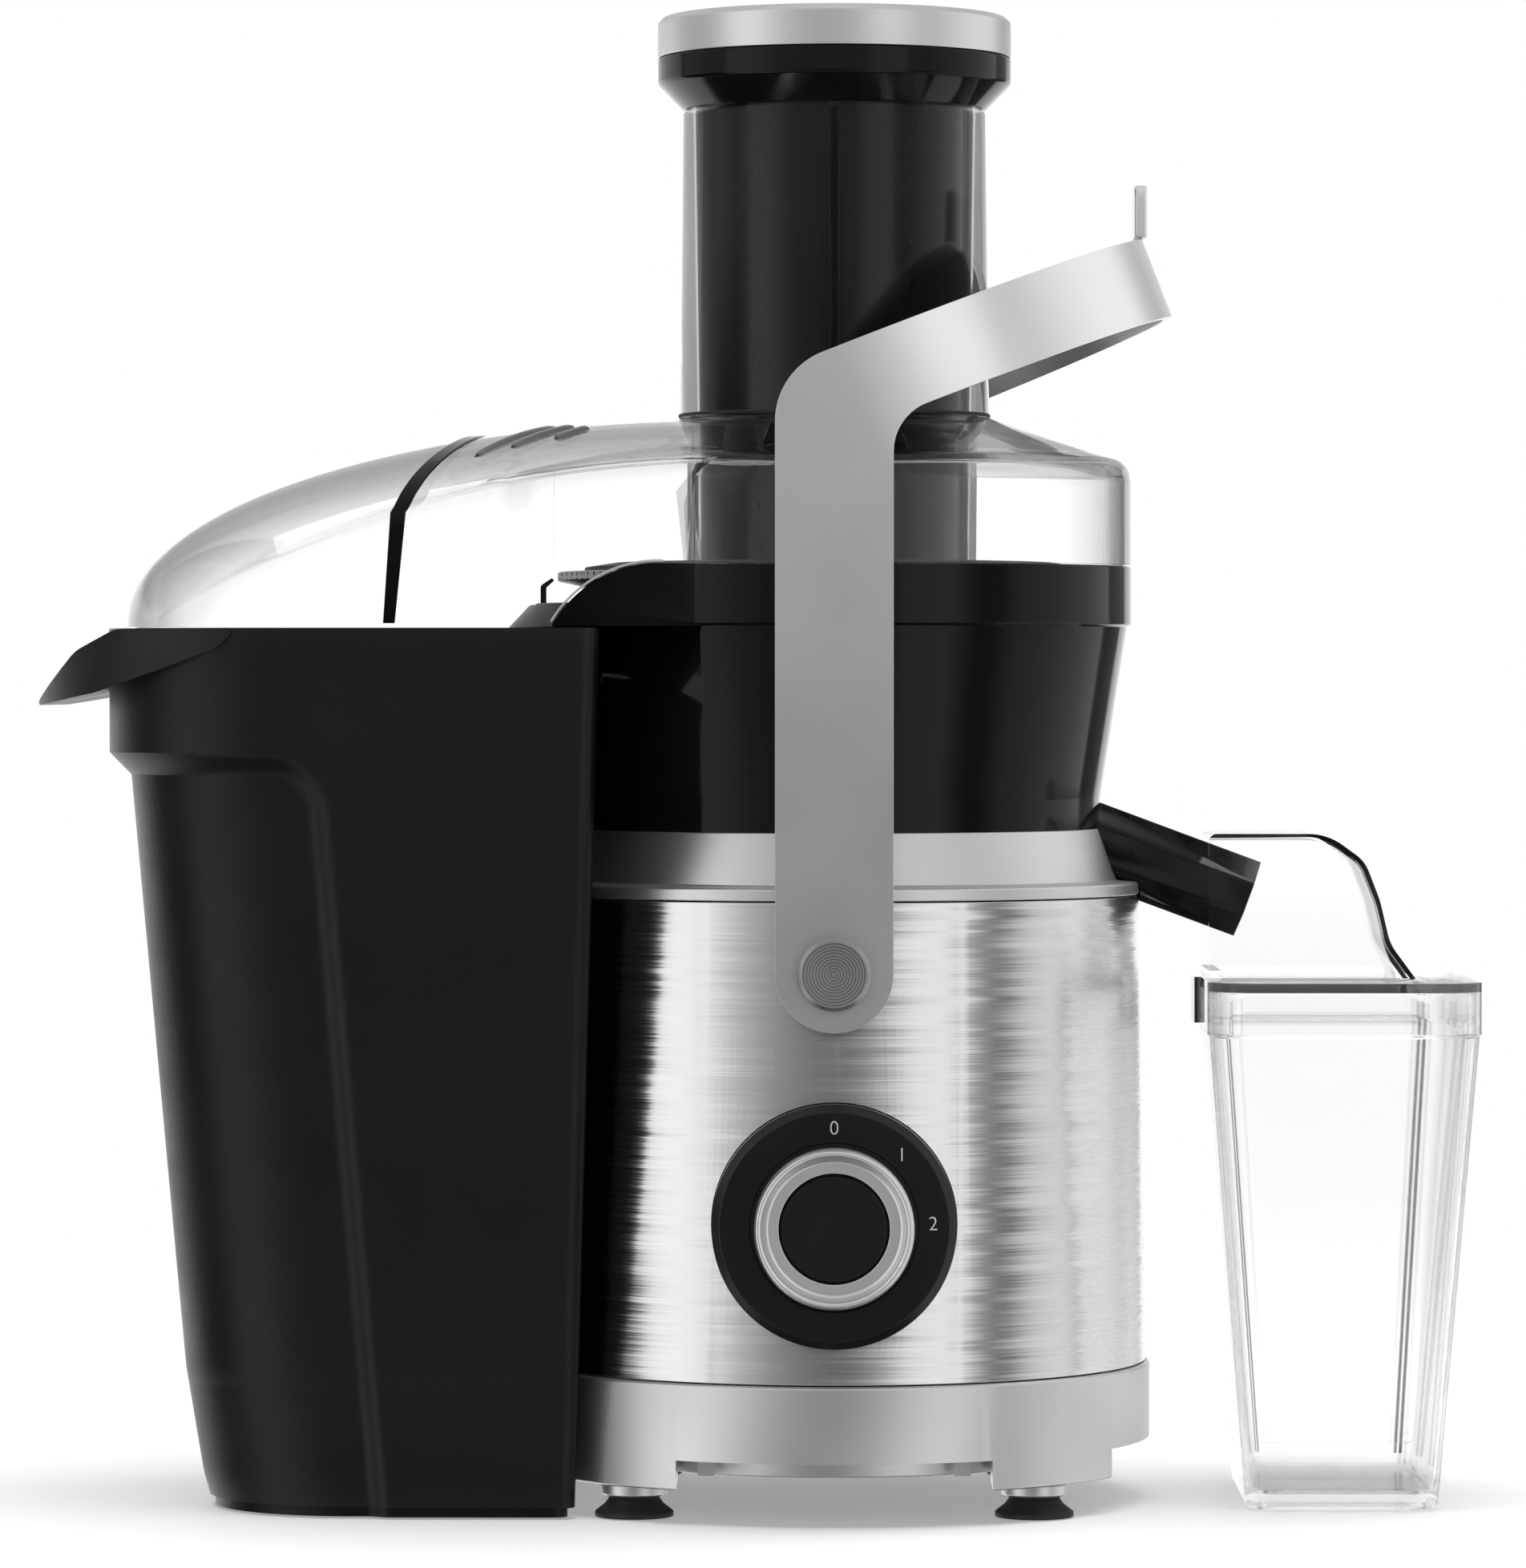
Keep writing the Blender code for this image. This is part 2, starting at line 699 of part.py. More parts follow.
def locking_arm():
    cos, sin, slope = math.cos(ARM_TILT), math.sin(ARM_TILT), math.tan(ARM_TILT)
    turn = 90 + math.degrees(ARM_TILT)
    inner, outer = 14, 20
    inner_x = ARM_HALF + inner
    inner_z = ARM_TOP - BAND_HEIGHT / cos + slope * inner_x - inner / cos
    outer_x = outer - ARM_HALF
    outer_z = ARM_TOP + slope * outer_x - outer / cos
    tip = (100 * cos, ARM_TOP + 100 * sin)
    outline = arc(0, PIVOT_Z, ARM_HALF, 180, 360, 10)
    outline += arc(inner_x, inner_z, inner, 180, turn)
    outline += [(tip[0] + BAND_HEIGHT * sin, tip[1] - BAND_HEIGHT * cos), tip]
    outline += arc(outer_x, outer_z, outer, turn, 180)
    arm = flat("locking_arm", outline, 200)
    inside = ARM_RADIUS - ARM_THICK
    bend = [(-90, -ARM_RADIUS)] + arc(0, 0, ARM_RADIUS, -90, 90, 24) + [(-90, ARM_RADIUS)]
    bend += [(-90, inside)] + arc(0, 0, inside, 90, -90, 24) + [(-90, -inside)]
    wall = flat("arm_wall", bend, 400, facing=(0, -ARM_TILT, 0), cutter=True)
    wall.location = Vector((0, 0, ARM_TOP)) * MM
    keep(arm, wall)
    cut(arm, cross_rod("arm_holes", 6.3, -110, 110, PIVOT_Z, SMALL))
    hang(arm, ARM, "satin_silver")
    hang(block("thumb_tab", (83.7, -11, 352.0), (87.2, 11, 366.7)), ARM, "satin_silver")


def dial():
    ring = [(20, DIAL_FRONT), (21.5, 100), (21.5, 92.9), (15, 92.9), (15, 100), (16, DIAL_FRONT)]
    cap = [(0, 100.6), (13.8, 100.6), (14.6, 99.8), (14.6, 93), (0, 93)]
    shaft = [(0, 92.7), (3, 92.7), (3, 66.4), (0, 66.4)]
    for name, profile, material in (
        ("knob_ring", ring, "satin_silver"),
        ("knob_cap", cap, "gloss_black"),
        ("knob_shaft", shaft, "matte_black"),
    ):
        piece = turned(name, profile, MEDIUM, (0, 0, DIAL_Z), FACING_FRONT)
        hang(piece, DIAL, material)


def bin_section(z, left, half, inset=0.0):
    right = -63.8 - 7 * (BIN_RIM - z) / BIN_RIM
    return rounded(left + inset, right - inset, half - inset, 44 - inset, 5, z)


def pulp_bin():
    walls = [(208.9, -202.3, 87), (202.8, -196.4, 86), (39, -182.9, 69), (24.7, -181.4, 68)]
    sections = [bin_section(BIN_RIM, -202.3, BIN_HALF)]
    sections += [bin_section(*wall) for wall in walls]
    sections += [bin_section(9, -178, 66), bin_section(3, -176.5, 65)]
    sections += [bin_section(3, -172, 60), bin_section(0, -172, 60)]
    body = loft("pulp_bin", sections)
    inset = 2.2
    inside = [bin_section(250, -202.3, BIN_HALF, inset)]
    inside += [bin_section(*wall, inset) for wall in walls] + [bin_section(6.5, -177.2, 65.5, inset)]
    hollow = loft("bin_inside", inside, cutter=True)
    cut(hollow, rod("bin_inner_curve", 92 + inset, -10, 270, steps=ROUND, cutter=True))
    outline = [(-160, 241.6), (-196, 241.6), (-203, 239.8), (-208.5, 235), (-223, 221.1)]
    outline += [(-199, 226.6), (-180, 232.5), (-160, 238.5)]
    lip = flat("bin_lip", outline, 172, cutter=True)
    plan = [rounded(-223.5, -150, 85, 66, 2, z) for z in (210, 250)]
    keep(lip, loft("bin_lip_plan", plan, cutter=True))
    join(body, lip)
    cut(body, rod("bin_curve", 92, -10, 260, steps=ROUND, cutter=True), hollow)
    hang(body, BIN, "matte_black")


def jug_section(z, half_x, half_y, radius):
    return rounded(JUG_MIDDLE - half_x, JUG_MIDDLE + half_x, half_y, radius, radius, z)


def jug():
    sections = [jug_section(JUG_TOP, 36.1, 54.4, 13), jug_section(131.1, 36.1, 54.4, 13)]
    sections += [jug_section(131.1, 37.2, 55.4, 14), jug_section(0, 26.6, 42, 10)]
    body = loft("jug_body", sections)
    inside = [jug_section(150, 34, 52.4, 11), jug_section(131, 34, 52.4, 11), jug_section(4, 24.6, 40, 8)]
    cut(body, loft("jug_inside", inside, cutter=True))
    hang(body, JUG, "clear_plastic")
    outline = [(JUG_MIDDLE - 24.8, 12), (JUG_MIDDLE + 24.8, 12), (JUG_MIDDLE + 33.2, 128)]
    plate = flat("froth_separator", outline + [(JUG_MIDDLE - 33.2, 128)], 1.6, 20)
    hang(plate, JUG, "clear_plastic")


def jug_lid():
    ends = (131.4, LID_PLATE_TOP)
    lid = loft("jug_lid", [jug_section(z, LID_HALF_X, LID_HALF_Y, 15) for z in ends])
    crest = [(134.8, 186), (140.4, 185.1), (146, 181.1), (149.4, 174.3), (151.6, 166.4)]
    foot = [(153.9, 157.5), (157.3, 150.7), (162.2, 145)]
    hood = flat("hood_outside", [(103.9, 145), (103.9, 186)] + crest + foot, 46, cutter=True)
    inner_crest = [(134.4, 184.2), (139.5, 183.4), (144.6, 179.7), (147.7, 173.6), (149.9, 165.9)]
    inner_foot = [(152.2, 156.9), (155.2, 150.6), (155.2, 138)]
    inner = [(107.5, 138), (107.5, 148), (100, 148), (100, 184.2)]
    channel = flat("hood_inside", inner + inner_crest + inner_foot, 42.4, cutter=True)
    join(lid, hood, block("lid_tab", (101.7, -9, 133), (104.5, 9, 145.8), True))
    skirt = [jug_section(z, LID_HALF_X - 1.7, LID_HALF_Y - 1.7, 13.5) for z in (120, 143.2)]
    cut(lid, loft("skirt_inside", skirt, cutter=True), channel)
    hang(lid, JUG_LID, "clear_plastic")


for make in (
    base_ring,
    bottom_plate,
    feet,
    steel_sleeve,
    top_collar,
    motor_deck,
    juice_bowl,
    motor,
    dial_bezel,
    electrics,
    arm_pivots,
    rotor,
    cooling_fan,
    lid_shell,
    feed_chute,
    lid_catches,
    duct_seam,
    pusher,
    locking_arm,
    dial,
    pulp_bin,
    jug,
    jug_lid,
):
    make()
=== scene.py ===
"""The looks of the centrifugal juicer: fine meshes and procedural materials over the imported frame.

Lengths in the helpers are millimetres from the motor axis at worktop height, as a juicer's drawing
would give them; AXIS is where the frame puts that axis. Numbers that the frame holds are read from it.
"""

import math

import bmesh
import bpy
from mathutils import Matrix, Vector


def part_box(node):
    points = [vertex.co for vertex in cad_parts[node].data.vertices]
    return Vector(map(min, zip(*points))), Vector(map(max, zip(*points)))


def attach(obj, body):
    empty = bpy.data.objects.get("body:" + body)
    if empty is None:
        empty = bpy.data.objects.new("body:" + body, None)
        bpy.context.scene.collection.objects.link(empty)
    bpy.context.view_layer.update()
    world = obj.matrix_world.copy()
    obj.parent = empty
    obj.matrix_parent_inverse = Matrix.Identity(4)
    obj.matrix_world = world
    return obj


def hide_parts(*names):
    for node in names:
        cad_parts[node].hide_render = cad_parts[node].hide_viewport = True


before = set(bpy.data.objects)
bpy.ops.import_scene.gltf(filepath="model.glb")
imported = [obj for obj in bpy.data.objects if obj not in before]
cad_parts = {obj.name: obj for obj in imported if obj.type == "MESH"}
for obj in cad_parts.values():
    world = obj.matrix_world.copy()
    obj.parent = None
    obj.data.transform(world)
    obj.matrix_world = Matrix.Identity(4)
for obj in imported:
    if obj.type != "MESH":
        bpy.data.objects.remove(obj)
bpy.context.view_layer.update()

MM = 0.001


def middle(node):
    low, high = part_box(node)
    return (low + high) / 2


AXIS = Vector((middle("pusher_cap").x, 0, 0))


def top_of(node):
    """A node's highest point, in millimetres."""
    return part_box(node)[1].z / MM


def foot_of(node):
    """A node's lowest point, in millimetres."""
    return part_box(node)[0].z / MM


def reach_of(node):
    """A round node's radius about the motor axis, in millimetres."""
    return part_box(node)[1].y / MM


# ---------------------------------------------------------------- materials


class Graph:
    """A node tree, with short ways to add to it."""

    def __init__(self, tree):
        self.tree = tree

    def feed(self, value, socket):
        """Joins another node's output to a socket, or sets the socket to a value."""
        if isinstance(value, bpy.types.NodeSocket):
            self.tree.links.new(value, socket)
        else:
            socket.default_value = value

    def node(self, kind, inputs=None, **settings):
        made = self.tree.nodes.new(kind)
        for key, value in settings.items():
            setattr(made, key, value)
        for key, value in (inputs or {}).items():
            self.feed(value, made.inputs[key])
        return made

    def first(self, kind, inputs=None, **settings):
        """A new node's first output."""
        return self.node(kind, inputs, **settings).outputs[0]


class Shader(Graph):
    """A Principled material with a few helpers for its procedural inputs."""

    def __init__(self, name, colour, roughness, metallic=0.0):
        self.material = bpy.data.materials.new(name)
        self.material.use_nodes = True
        super().__init__(self.material.node_tree)
        self.bsdf = self.tree.nodes["Principled BSDF"]
        self.put("Base Color", (*colour, 1.0))
        self.put("Roughness", roughness)
        self.put("Metallic", metallic)
        self.colour, self.roughness = colour, roughness
        self.place = self.node("ShaderNodeTexCoord").outputs["Object"]

    def put(self, socket, value):
        self.feed(value, self.bsdf.inputs[socket])

    def mix_in(self, share, other):
        """Mixes in another shader, by a share that is the same all over or by a field."""
        mixed = self.first("ShaderNodeMixShader", {0: share, 1: self.bsdf.outputs[0], 2: other})
        self.feed(mixed, self.tree.nodes["Material Output"].inputs["Surface"])

    def stretched(self, scale):
        return self.node("ShaderNodeMapping", {"Scale": scale, "Vector": self.place}).outputs["Vector"]

    def noise(self, scale, detail, rough=0.55):
        """A noise field, stretched when scale is a triple of cycles per metre."""
        triple = scale if isinstance(scale, tuple) else (scale, scale, scale)
        inputs = {"Vector": self.stretched(triple), "Scale": 1.0, "Detail": detail, "Roughness": rough}
        return self.node("ShaderNodeTexNoise", inputs).outputs["Fac"]

    def ranged(self, value, low, high, start=0.3, end=0.7):
        """The field stretched so that start to end becomes low to high."""
        inputs = {"Value": value, "From Min": start, "From Max": end, "To Min": low, "To Max": high}
        return self.node("ShaderNodeMapRange", inputs).outputs["Result"]

    def vary_roughness(self, field, spread):
        low, high = self.roughness - spread, self.roughness + spread
        self.put("Roughness", self.ranged(field, max(0.01, low), high))

    def tint(self, field, low, high):
        """Colour from low times the base colour to high times it, along the field."""
        dark, light = [(*[c * share for c in self.colour], 1) for share in (low, high)]
        mixed = self.node("ShaderNodeMix", {"Factor": field, "A": dark, "B": light}, data_type="RGBA")
        self.put("Base Color", mixed.outputs["Result"])

    def bump(self, field, strength, distance):
        inputs = {"Strength": strength, "Distance": distance, "Height": field}
        self.put("Normal", self.node("ShaderNodeBump", inputs).outputs["Normal"])

    def brush(self, amount, axis):
        """Spreads reflections across lines that run round an axis, and gives the lines' direction."""
        self.put("Anisotropic", amount)
        self.put("Anisotropic Rotation", 0.25)
        tangent = self.node("ShaderNodeTangent", direction_type="RADIAL", axis=axis).outputs["Tangent"]
        self.put("Tangent", tangent)
        return tangent

    def streaked_normal(self, field, tangent, amount):
        """Turns the normal a little to and fro along the tangent, so that reflections get ragged edges."""
        centred = self.ranged(field, -amount / 2, amount / 2, 0.25, 0.75)
        lean = self.first("ShaderNodeVectorMath", {0: tangent, "Scale": centred}, operation="SCALE")
        normal = self.node("ShaderNodeNewGeometry").outputs["Normal"]
        total = self.first("ShaderNodeVectorMath", {0: normal, 1: lean}, operation="ADD")
        self.put("Normal", self.first("ShaderNodeVectorMath", {0: total}, operation="NORMALIZE"))

    def worn_edges(self):
        """0 on flats and 1 on sharp convex edges."""
        return self.ranged(self.node("ShaderNodeNewGeometry").outputs["Pointiness"], 0.0, 1.0, 0.52, 0.60)


def brushed_steel():
    """Sheet steel with fine streaks that run round the sleeve."""
    s = Shader("brushed_steel", (0.66, 0.66, 0.655), 0.27, 1.0)
    fine = s.noise((14, 14, 2600), 2.0, 0.6)
    coarse = s.noise((9, 9, 520), 2.0, 0.5)
    both = s.first("ShaderNodeMath", {0: fine, 1: coarse}, operation="ADD")
    streaks = s.first("ShaderNodeMath", {0: both, 1: 0.5}, operation="MULTIPLY")
    s.vary_roughness(streaks, 0.05)
    s.tint(s.ranged(streaks, 0, 1), 0.88, 1.07)
    s.streaked_normal(streaks, s.brush(0.7, "Z"), 0.16)
    return s.material


def turned_steel(name, axis):
    """A faced disc: fine rings about its own axis."""
    s = Shader(name, (0.36, 0.36, 0.36), 0.40, 1.0)
    inputs = {"Vector": s.stretched((380, 380, 380)), "Scale": 1.0, "Distortion": 0.4}
    rings = s.node("ShaderNodeTexWave", inputs, wave_type="RINGS", rings_direction=axis).outputs["Fac"]
    s.vary_roughness(rings, 0.08)
    s.tint(rings, 0.85, 1.1)
    s.brush(0.25, axis)
    return s.material


def satin_silver(name="satin_silver", colour=(0.64, 0.64, 0.64), roughness=0.40, grain=0.10, worn=1.14):
    """Bead-blasted, anodised aluminium and silver-painted mouldings, a little lighter at worn edges."""
    s = Shader(name, colour, roughness, 0.92)
    s.vary_roughness(s.noise(18, 2.0), 0.04)
    s.tint(s.ranged(s.worn_edges(), 0, 1, 0, 1), 0.97, worn)
    s.bump(s.noise(1800, 3.0), grain, 0.0002)
    return s.material


def gloss_black():
    s = Shader("gloss_black", (0.0045, 0.0045, 0.0048), 0.10)
    s.vary_roughness(s.noise(35, 3.0), 0.03)
    s.tint(s.noise(400, 2.0), 0.8, 1.25)
    s.bump(s.noise(45, 2.0), 0.02, 0.001)
    s.put("Specular IOR Level", 0.15)
    return s.material


def matte_black(name="matte_black", colour=(0.009, 0.0093, 0.0093), roughness=0.46, specular=0.4):
    """Spark-eroded plastic: a fine, even grain."""
    s = Shader(name, colour, roughness)
    s.put("Specular IOR Level", specular)
    grain = s.noise(1500, 4.0, 0.7)
    s.vary_roughness(s.noise(28, 3.0), 0.05)
    s.tint(s.worn_edges(), 1.0, 2.0)
    s.bump(grain, 0.22, 0.0003)
    return s.material


def rubber():
    s = Shader("black_rubber", (0.009, 0.009, 0.009), 0.68)
    s.vary_roughness(s.noise(90, 4.0), 0.08)
    s.tint(s.noise(600, 3.0), 0.7, 1.5)
    s.bump(s.noise(900, 5.0, 0.7), 0.3, 0.0003)
    return s.material


def clear_plastic(name, tone, edge_on_shade, clearness=0.0, index=1.16, coat=0.3):
    """Clear moulded plastic whose colour greys where it is seen edge-on: painted shade for the grey that its
    walls show at grazing angles.

    Its walls bend light a little, its coat reflects, and clearness lets that share straight through.
    """
    s = Shader(name, (tone, tone, tone), 0.018)
    s.put("Transmission Weight", 1.0)
    s.put("IOR", index)
    s.put("Coat Weight", coat)
    s.put("Coat Roughness", 0.02)
    s.vary_roughness(s.noise(30, 2.0), 0.012)
    s.bump(s.noise(16, 1.0), 0.03, 0.0012)
    # Painted shade: the colour darkens from the face-on tone to tone times edge_on_shade as the wall turns
    # edge-on.
    facing = s.node("ShaderNodeLayerWeight").outputs["Facing"]
    s.tint(s.ranged(facing, 0, 1, 0.35, 1.0), 1.0, edge_on_shade)
    if clearness:
        s.mix_in(clearness, s.first("ShaderNodeBsdfTransparent"))
    return s.material


def bare_metal(name, colour, roughness):
    s = Shader(name, colour, roughness, 1.0)
    field = s.noise(300, 4.0)
    s.vary_roughness(field, 0.1)
    s.tint(field, 0.75, 1.15)
    s.bump(field, 0.12, 0.0004)
    return s.material


def mesh_steel():
    """The basket's etched sieve: rows of small round holes, darker than the sheet."""
    s = Shader("sieve_steel", (0.62, 0.62, 0.61), 0.22, 1.0)
    holes = s.node("ShaderNodeTexVoronoi", {"Randomness": 0.0, "Scale": 620, "Vector": s.place})
    dots = s.ranged(holes.outputs["Distance"], 0.0, 1.0, 0.28, 0.36)
    s.tint(dots, 0.05, 1.0)
    s.bump(dots, 0.5, 0.0003)
    return s.material


def windings():
    """Enamelled copper wire, wound in close turns."""
    s = Shader("copper_wire", (0.55, 0.20, 0.08), 0.3, 0.9)
    inputs = {"Scale": 480, "Vector": s.place}
    wave = s.node("ShaderNodeTexWave", inputs, wave_type="BANDS", bands_direction="DIAGONAL").outputs["Fac"]
    s.tint(wave, 0.35, 1.1)
    s.bump(wave, 0.6, 0.0005)
    return s.material


def circuit_board():
    s = Shader("circuit_board", (0.015, 0.13, 0.05), 0.4)
    inputs = {"Scale": 130, "Vector": s.stretched((0.4, 1, 1)), "Color1": (0.012, 0.11, 0.04, 1)}
    inputs |= {"Color2": (0.02, 0.18, 0.06, 1), "Mortar": (0.45, 0.38, 0.16, 1)}
    s.put("Base Color", s.node("ShaderNodeTexBrick", inputs).outputs["Color"])
    return s.material


STEEL = brushed_steel()
SILVER = satin_silver()
ARM_SILVER = satin_silver("arm_silver", (0.78, 0.78, 0.78), 0.32, 0.03, 0.98)
GLOSS = gloss_black()
MATTE = matte_black()
BIN_BLACK = matte_black("bin_black", (0.0056, 0.0058, 0.0058), 0.40, 0.22)
RUBBER = rubber()
CLEAR = clear_plastic("clear_plastic", 1.0, 0.12)
# Greyer copies of the clear lid material: painted shade for the grey tones of the lid's roof, slope, baffles
# and panel step.
DARK_SHADE_CLEAR = clear_plastic("clear_dark_shade", 0.64, 0.5, 0.1)
LIGHT_SHADE_CLEAR = clear_plastic("clear_light_shade", 0.80, 0.4, 0.1)
CLEAR_CHUTE = clear_plastic("clear_chute", 1.0, 0.6, index=1.10, coat=0.06)
CLEAR_JUG = clear_plastic("clear_jug", 1.0, 0.35, 0.22)
# Nearly black clear: painted shade for the dark cut edges of clear mouldings.
EDGE_SHADE = clear_plastic("clear_edge_shade", 0.02, 1.0)
# Grey clear: painted shade for the dark look of the clear grip ribs and separator bar.
SHADED_CLEAR = clear_plastic("shaded_clear_plastic", 0.35, 0.3)
# Bright silver: painted highlight for the glint along the clear lid's lower edge.
HIGHLIGHT_SILVER = satin_silver("painted_highlight", (0.86, 0.86, 0.86), 0.3)
FACED = turned_steel("faced_steel", "Y")
BARE = bare_metal("bare_steel", (0.55, 0.55, 0.54), 0.3)
SIEVE = mesh_steel()
COPPER = windings()
BOARD = circuit_board()
CARBON = matte_black("carbon", (0.02, 0.02, 0.021), 0.6)
BEZEL = matte_black("bezel_black", (0.006, 0.006, 0.006), 0.26, 0.34)
CAP_BLACK = matte_black("cap_black", (0.006, 0.006, 0.006), 0.34, 0.3)
RING_SILVER = satin_silver("ring_silver", (0.73, 0.73, 0.73), 0.39)
PRINT = matte_black("print_grey", (0.30, 0.30, 0.30), 0.5)


# ---------------------------------------------------------------- mesh helpers

UP, FRONT, REAR, SIDE = "up", "front", "rear", "side"
TURN = {
    UP: Matrix.Identity(4),
    FRONT: Matrix.Rotation(math.radians(90), 4, "X"),
    REAR: Matrix.Rotation(math.radians(-90), 4, "X"),
    SIDE: Matrix(((0, 0, 1, 0), (1, 0, 0, 0), (0, 1, 0, 0), (0, 0, 0, 1))),
}
ON_AXIS = Matrix.Translation(AXIS)
FROM_FRONT = ON_AXIS @ TURN[FRONT]
# Steps round the largest turned pieces.
FINE = 256


def rounded_path(points, closed=True, turns=5):
    """A path whose points may carry a corner radius: (a, b) or (a, b, radius)."""
    count = len(points)
    path = []
    for i, point in enumerate(points):
        here = Vector(point[:2])
        radius = point[2] if len(point) > 2 else 0
        if not radius or (not closed and i in (0, count - 1)):
            path.append(here)
            continue
        before = (Vector(points[i - 1][:2]) - here).normalized()
        after = (Vector(points[(i + 1) % count][:2]) - here).normalized()
        half = math.acos(max(-1, min(1, before.dot(after)))) / 2
        centre = here + (before + after).normalized() * (radius / math.sin(half))
        first = here + before * (radius / math.tan(half)) - centre
        last = here + after * (radius / math.tan(half)) - centre
        sweep = first.angle_signed(last)
        for k in range(turns + 1):
            path.append(centre + Matrix.Rotation(-sweep * k / turns, 2) @ first)
    return path


# Edges that turn by more than this many degrees are drawn sharp.
SHARP = 35


def piece_from(name, bm, body, material, nodes=(), weighted=False, origin=(0, 0, 0)):
    """The finished bmesh as a piece that rides on a body and stands for CAD nodes."""
    bmesh.ops.recalc_face_normals(bm, faces=bm.faces)
    mesh = bpy.data.meshes.new(name)
    bm.to_mesh(mesh)
    bm.free()
    mesh.shade_smooth()
    mesh.set_sharp_from_angle(angle=math.radians(SHARP))
    obj = bpy.data.objects.new(name, mesh)
    obj.location = origin
    bpy.context.scene.collection.objects.link(obj)
    if weighted:
        modifier = obj.modifiers.new("weighted", "WEIGHTED_NORMAL")
        modifier.keep_sharp = True
    if material is not None:
        mesh.materials.append(material)
        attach(obj, body)
        if nodes:
            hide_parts(*nodes)
    return obj


def at(x, y, z):
    return Vector((x, y, z)) * MM + AXIS


def lathe_into(bm, profile, steps, place, closed):
    """Turns a profile of (radius, height) in millimetres about the placed Z axis."""
    rings = []
    for radius, height in profile:
        if radius < 1e-4:
            rings.append([bm.verts.new(place @ (Vector((0, 0, height)) * MM))])
            continue
        ring = []
        for k in range(steps):
            angle = 2 * math.pi * k / steps
            spot = Vector((radius * math.cos(angle), radius * math.sin(angle), height)) * MM
            ring.append(bm.verts.new(place @ spot))
        rings.append(ring)
    pairs = list(zip(rings, rings[1:])) + ([(rings[-1], rings[0])] if closed else [])
    for near, far in pairs:
        for k in range(steps):
            corners = [near[k % len(near)], near[(k + 1) % len(near)]]
            corners += [far[(k + 1) % len(far)], far[k % len(far)]]
            corners = list(dict.fromkeys(corners))
            if len(corners) > 2:
                bm.faces.new(corners)


def lathe(name, profile, body, material, nodes=(), steps=160, centre=(0, 0, 0), facing=UP, turns=5):
    """A turned piece. A profile that starts at radius 0 is solid; any other closes on itself."""
    closed = profile[0][0] > 0
    path = rounded_path(profile, closed, turns)
    bm = bmesh.new()
    lathe_into(bm, path, steps, TURN[facing], closed)
    return piece_from(name, bm, body, material, nodes, weighted=True, origin=at(*centre))


def prism_into(bm, outline, low, high, place):
    near = [bm.verts.new(place @ (Vector((a, b, low)) * MM)) for a, b in outline]
    far = [bm.verts.new(place @ (Vector((a, b, high)) * MM)) for a, b in outline]
    bm.faces.new(near)
    bm.faces.new(far)
    for i in range(len(near)):
        j = (i + 1) % len(near)
        bm.faces.new((near[i], near[j], far[j], far[i]))


def prism(name, outline, low, high, body, material, nodes=(), facing=FRONT, turns=6):
    """An outline with rounded corners, extruded from low to high.

    FRONT draws it in XZ and extrudes it towards -Y; SIDE draws it in YZ and extrudes it along X.
    """
    bm = bmesh.new()
    prism_into(bm, rounded_path(outline, True, turns), low, high, ON_AXIS @ TURN[facing])
    return piece_from(name, bm, body, material, nodes)


def soften(obj, width, segments=3, angle=40):
    """Rounds the edges that turn by more than an angle, width millimetres wide."""
    modifier = obj.modifiers.new("soft_edges", "BEVEL")
    modifier.width = width * MM
    modifier.segments = segments
    modifier.limit_method = "ANGLE"
    modifier.angle_limit = math.radians(angle)
    modifier.harden_normals = True


def repaint(obj, chosen, look=EDGE_SHADE):
    """Gives the chosen faces another look; by default the painted shade of a clear moulding's dark cut edges.
    """
    looks = obj.data.materials
    if look.name not in looks:
        looks.append(look)
    for face in obj.data.polygons:
        if chosen(face):
            face.material_index = looks.find(look.name)


def loft_into(bm, sections):
    """A solid through outlines that all have the same number of points."""
    rings = [[bm.verts.new(at(*p)) for p in section] for section in sections]
    for near, far in zip(rings, rings[1:]):
        for i in range(len(near)):
            j = (i + 1) % len(near)
            bm.faces.new((near[i], near[j], far[j], far[i]))
    bm.faces.new(rings[0])
    bm.faces.new(rings[-1])


def tool(name, build):
    """A helper solid for a Boolean, which combine() uses and then deletes, or works on and keeps."""
    bm = bmesh.new()
    build(bm)
    return piece_from(name, bm, None, None)


def turned_tool(name, profile, closed=False, steps=FINE):
    """A helper solid turned about the motor axis."""
    return tool(name, lambda bm: lathe_into(bm, profile, steps, ON_AXIS, closed))


def front_tool(name, outline, half):
    """A helper solid drawn from the front, which runs from -half to half through Y."""
    return tool(name, lambda bm: prism_into(bm, outline, -half, half, FROM_FRONT))


def box_tool(name, low, high):
    return tool(name, lambda bm: box_into(bm, low, high))


def loft_tool(name, sections):
    return tool(name, lambda bm: loft_into(bm, sections))


def cut(obj, *tools, sharp=SHARP):
    combine(obj, [("DIFFERENCE", item) for item in tools], sharp)


def become(obj, name, material):
    """Turns a helper solid into a piece, with a name and one material."""
    obj.name = name
    obj.data.materials.clear()
    obj.data.materials.append(material)


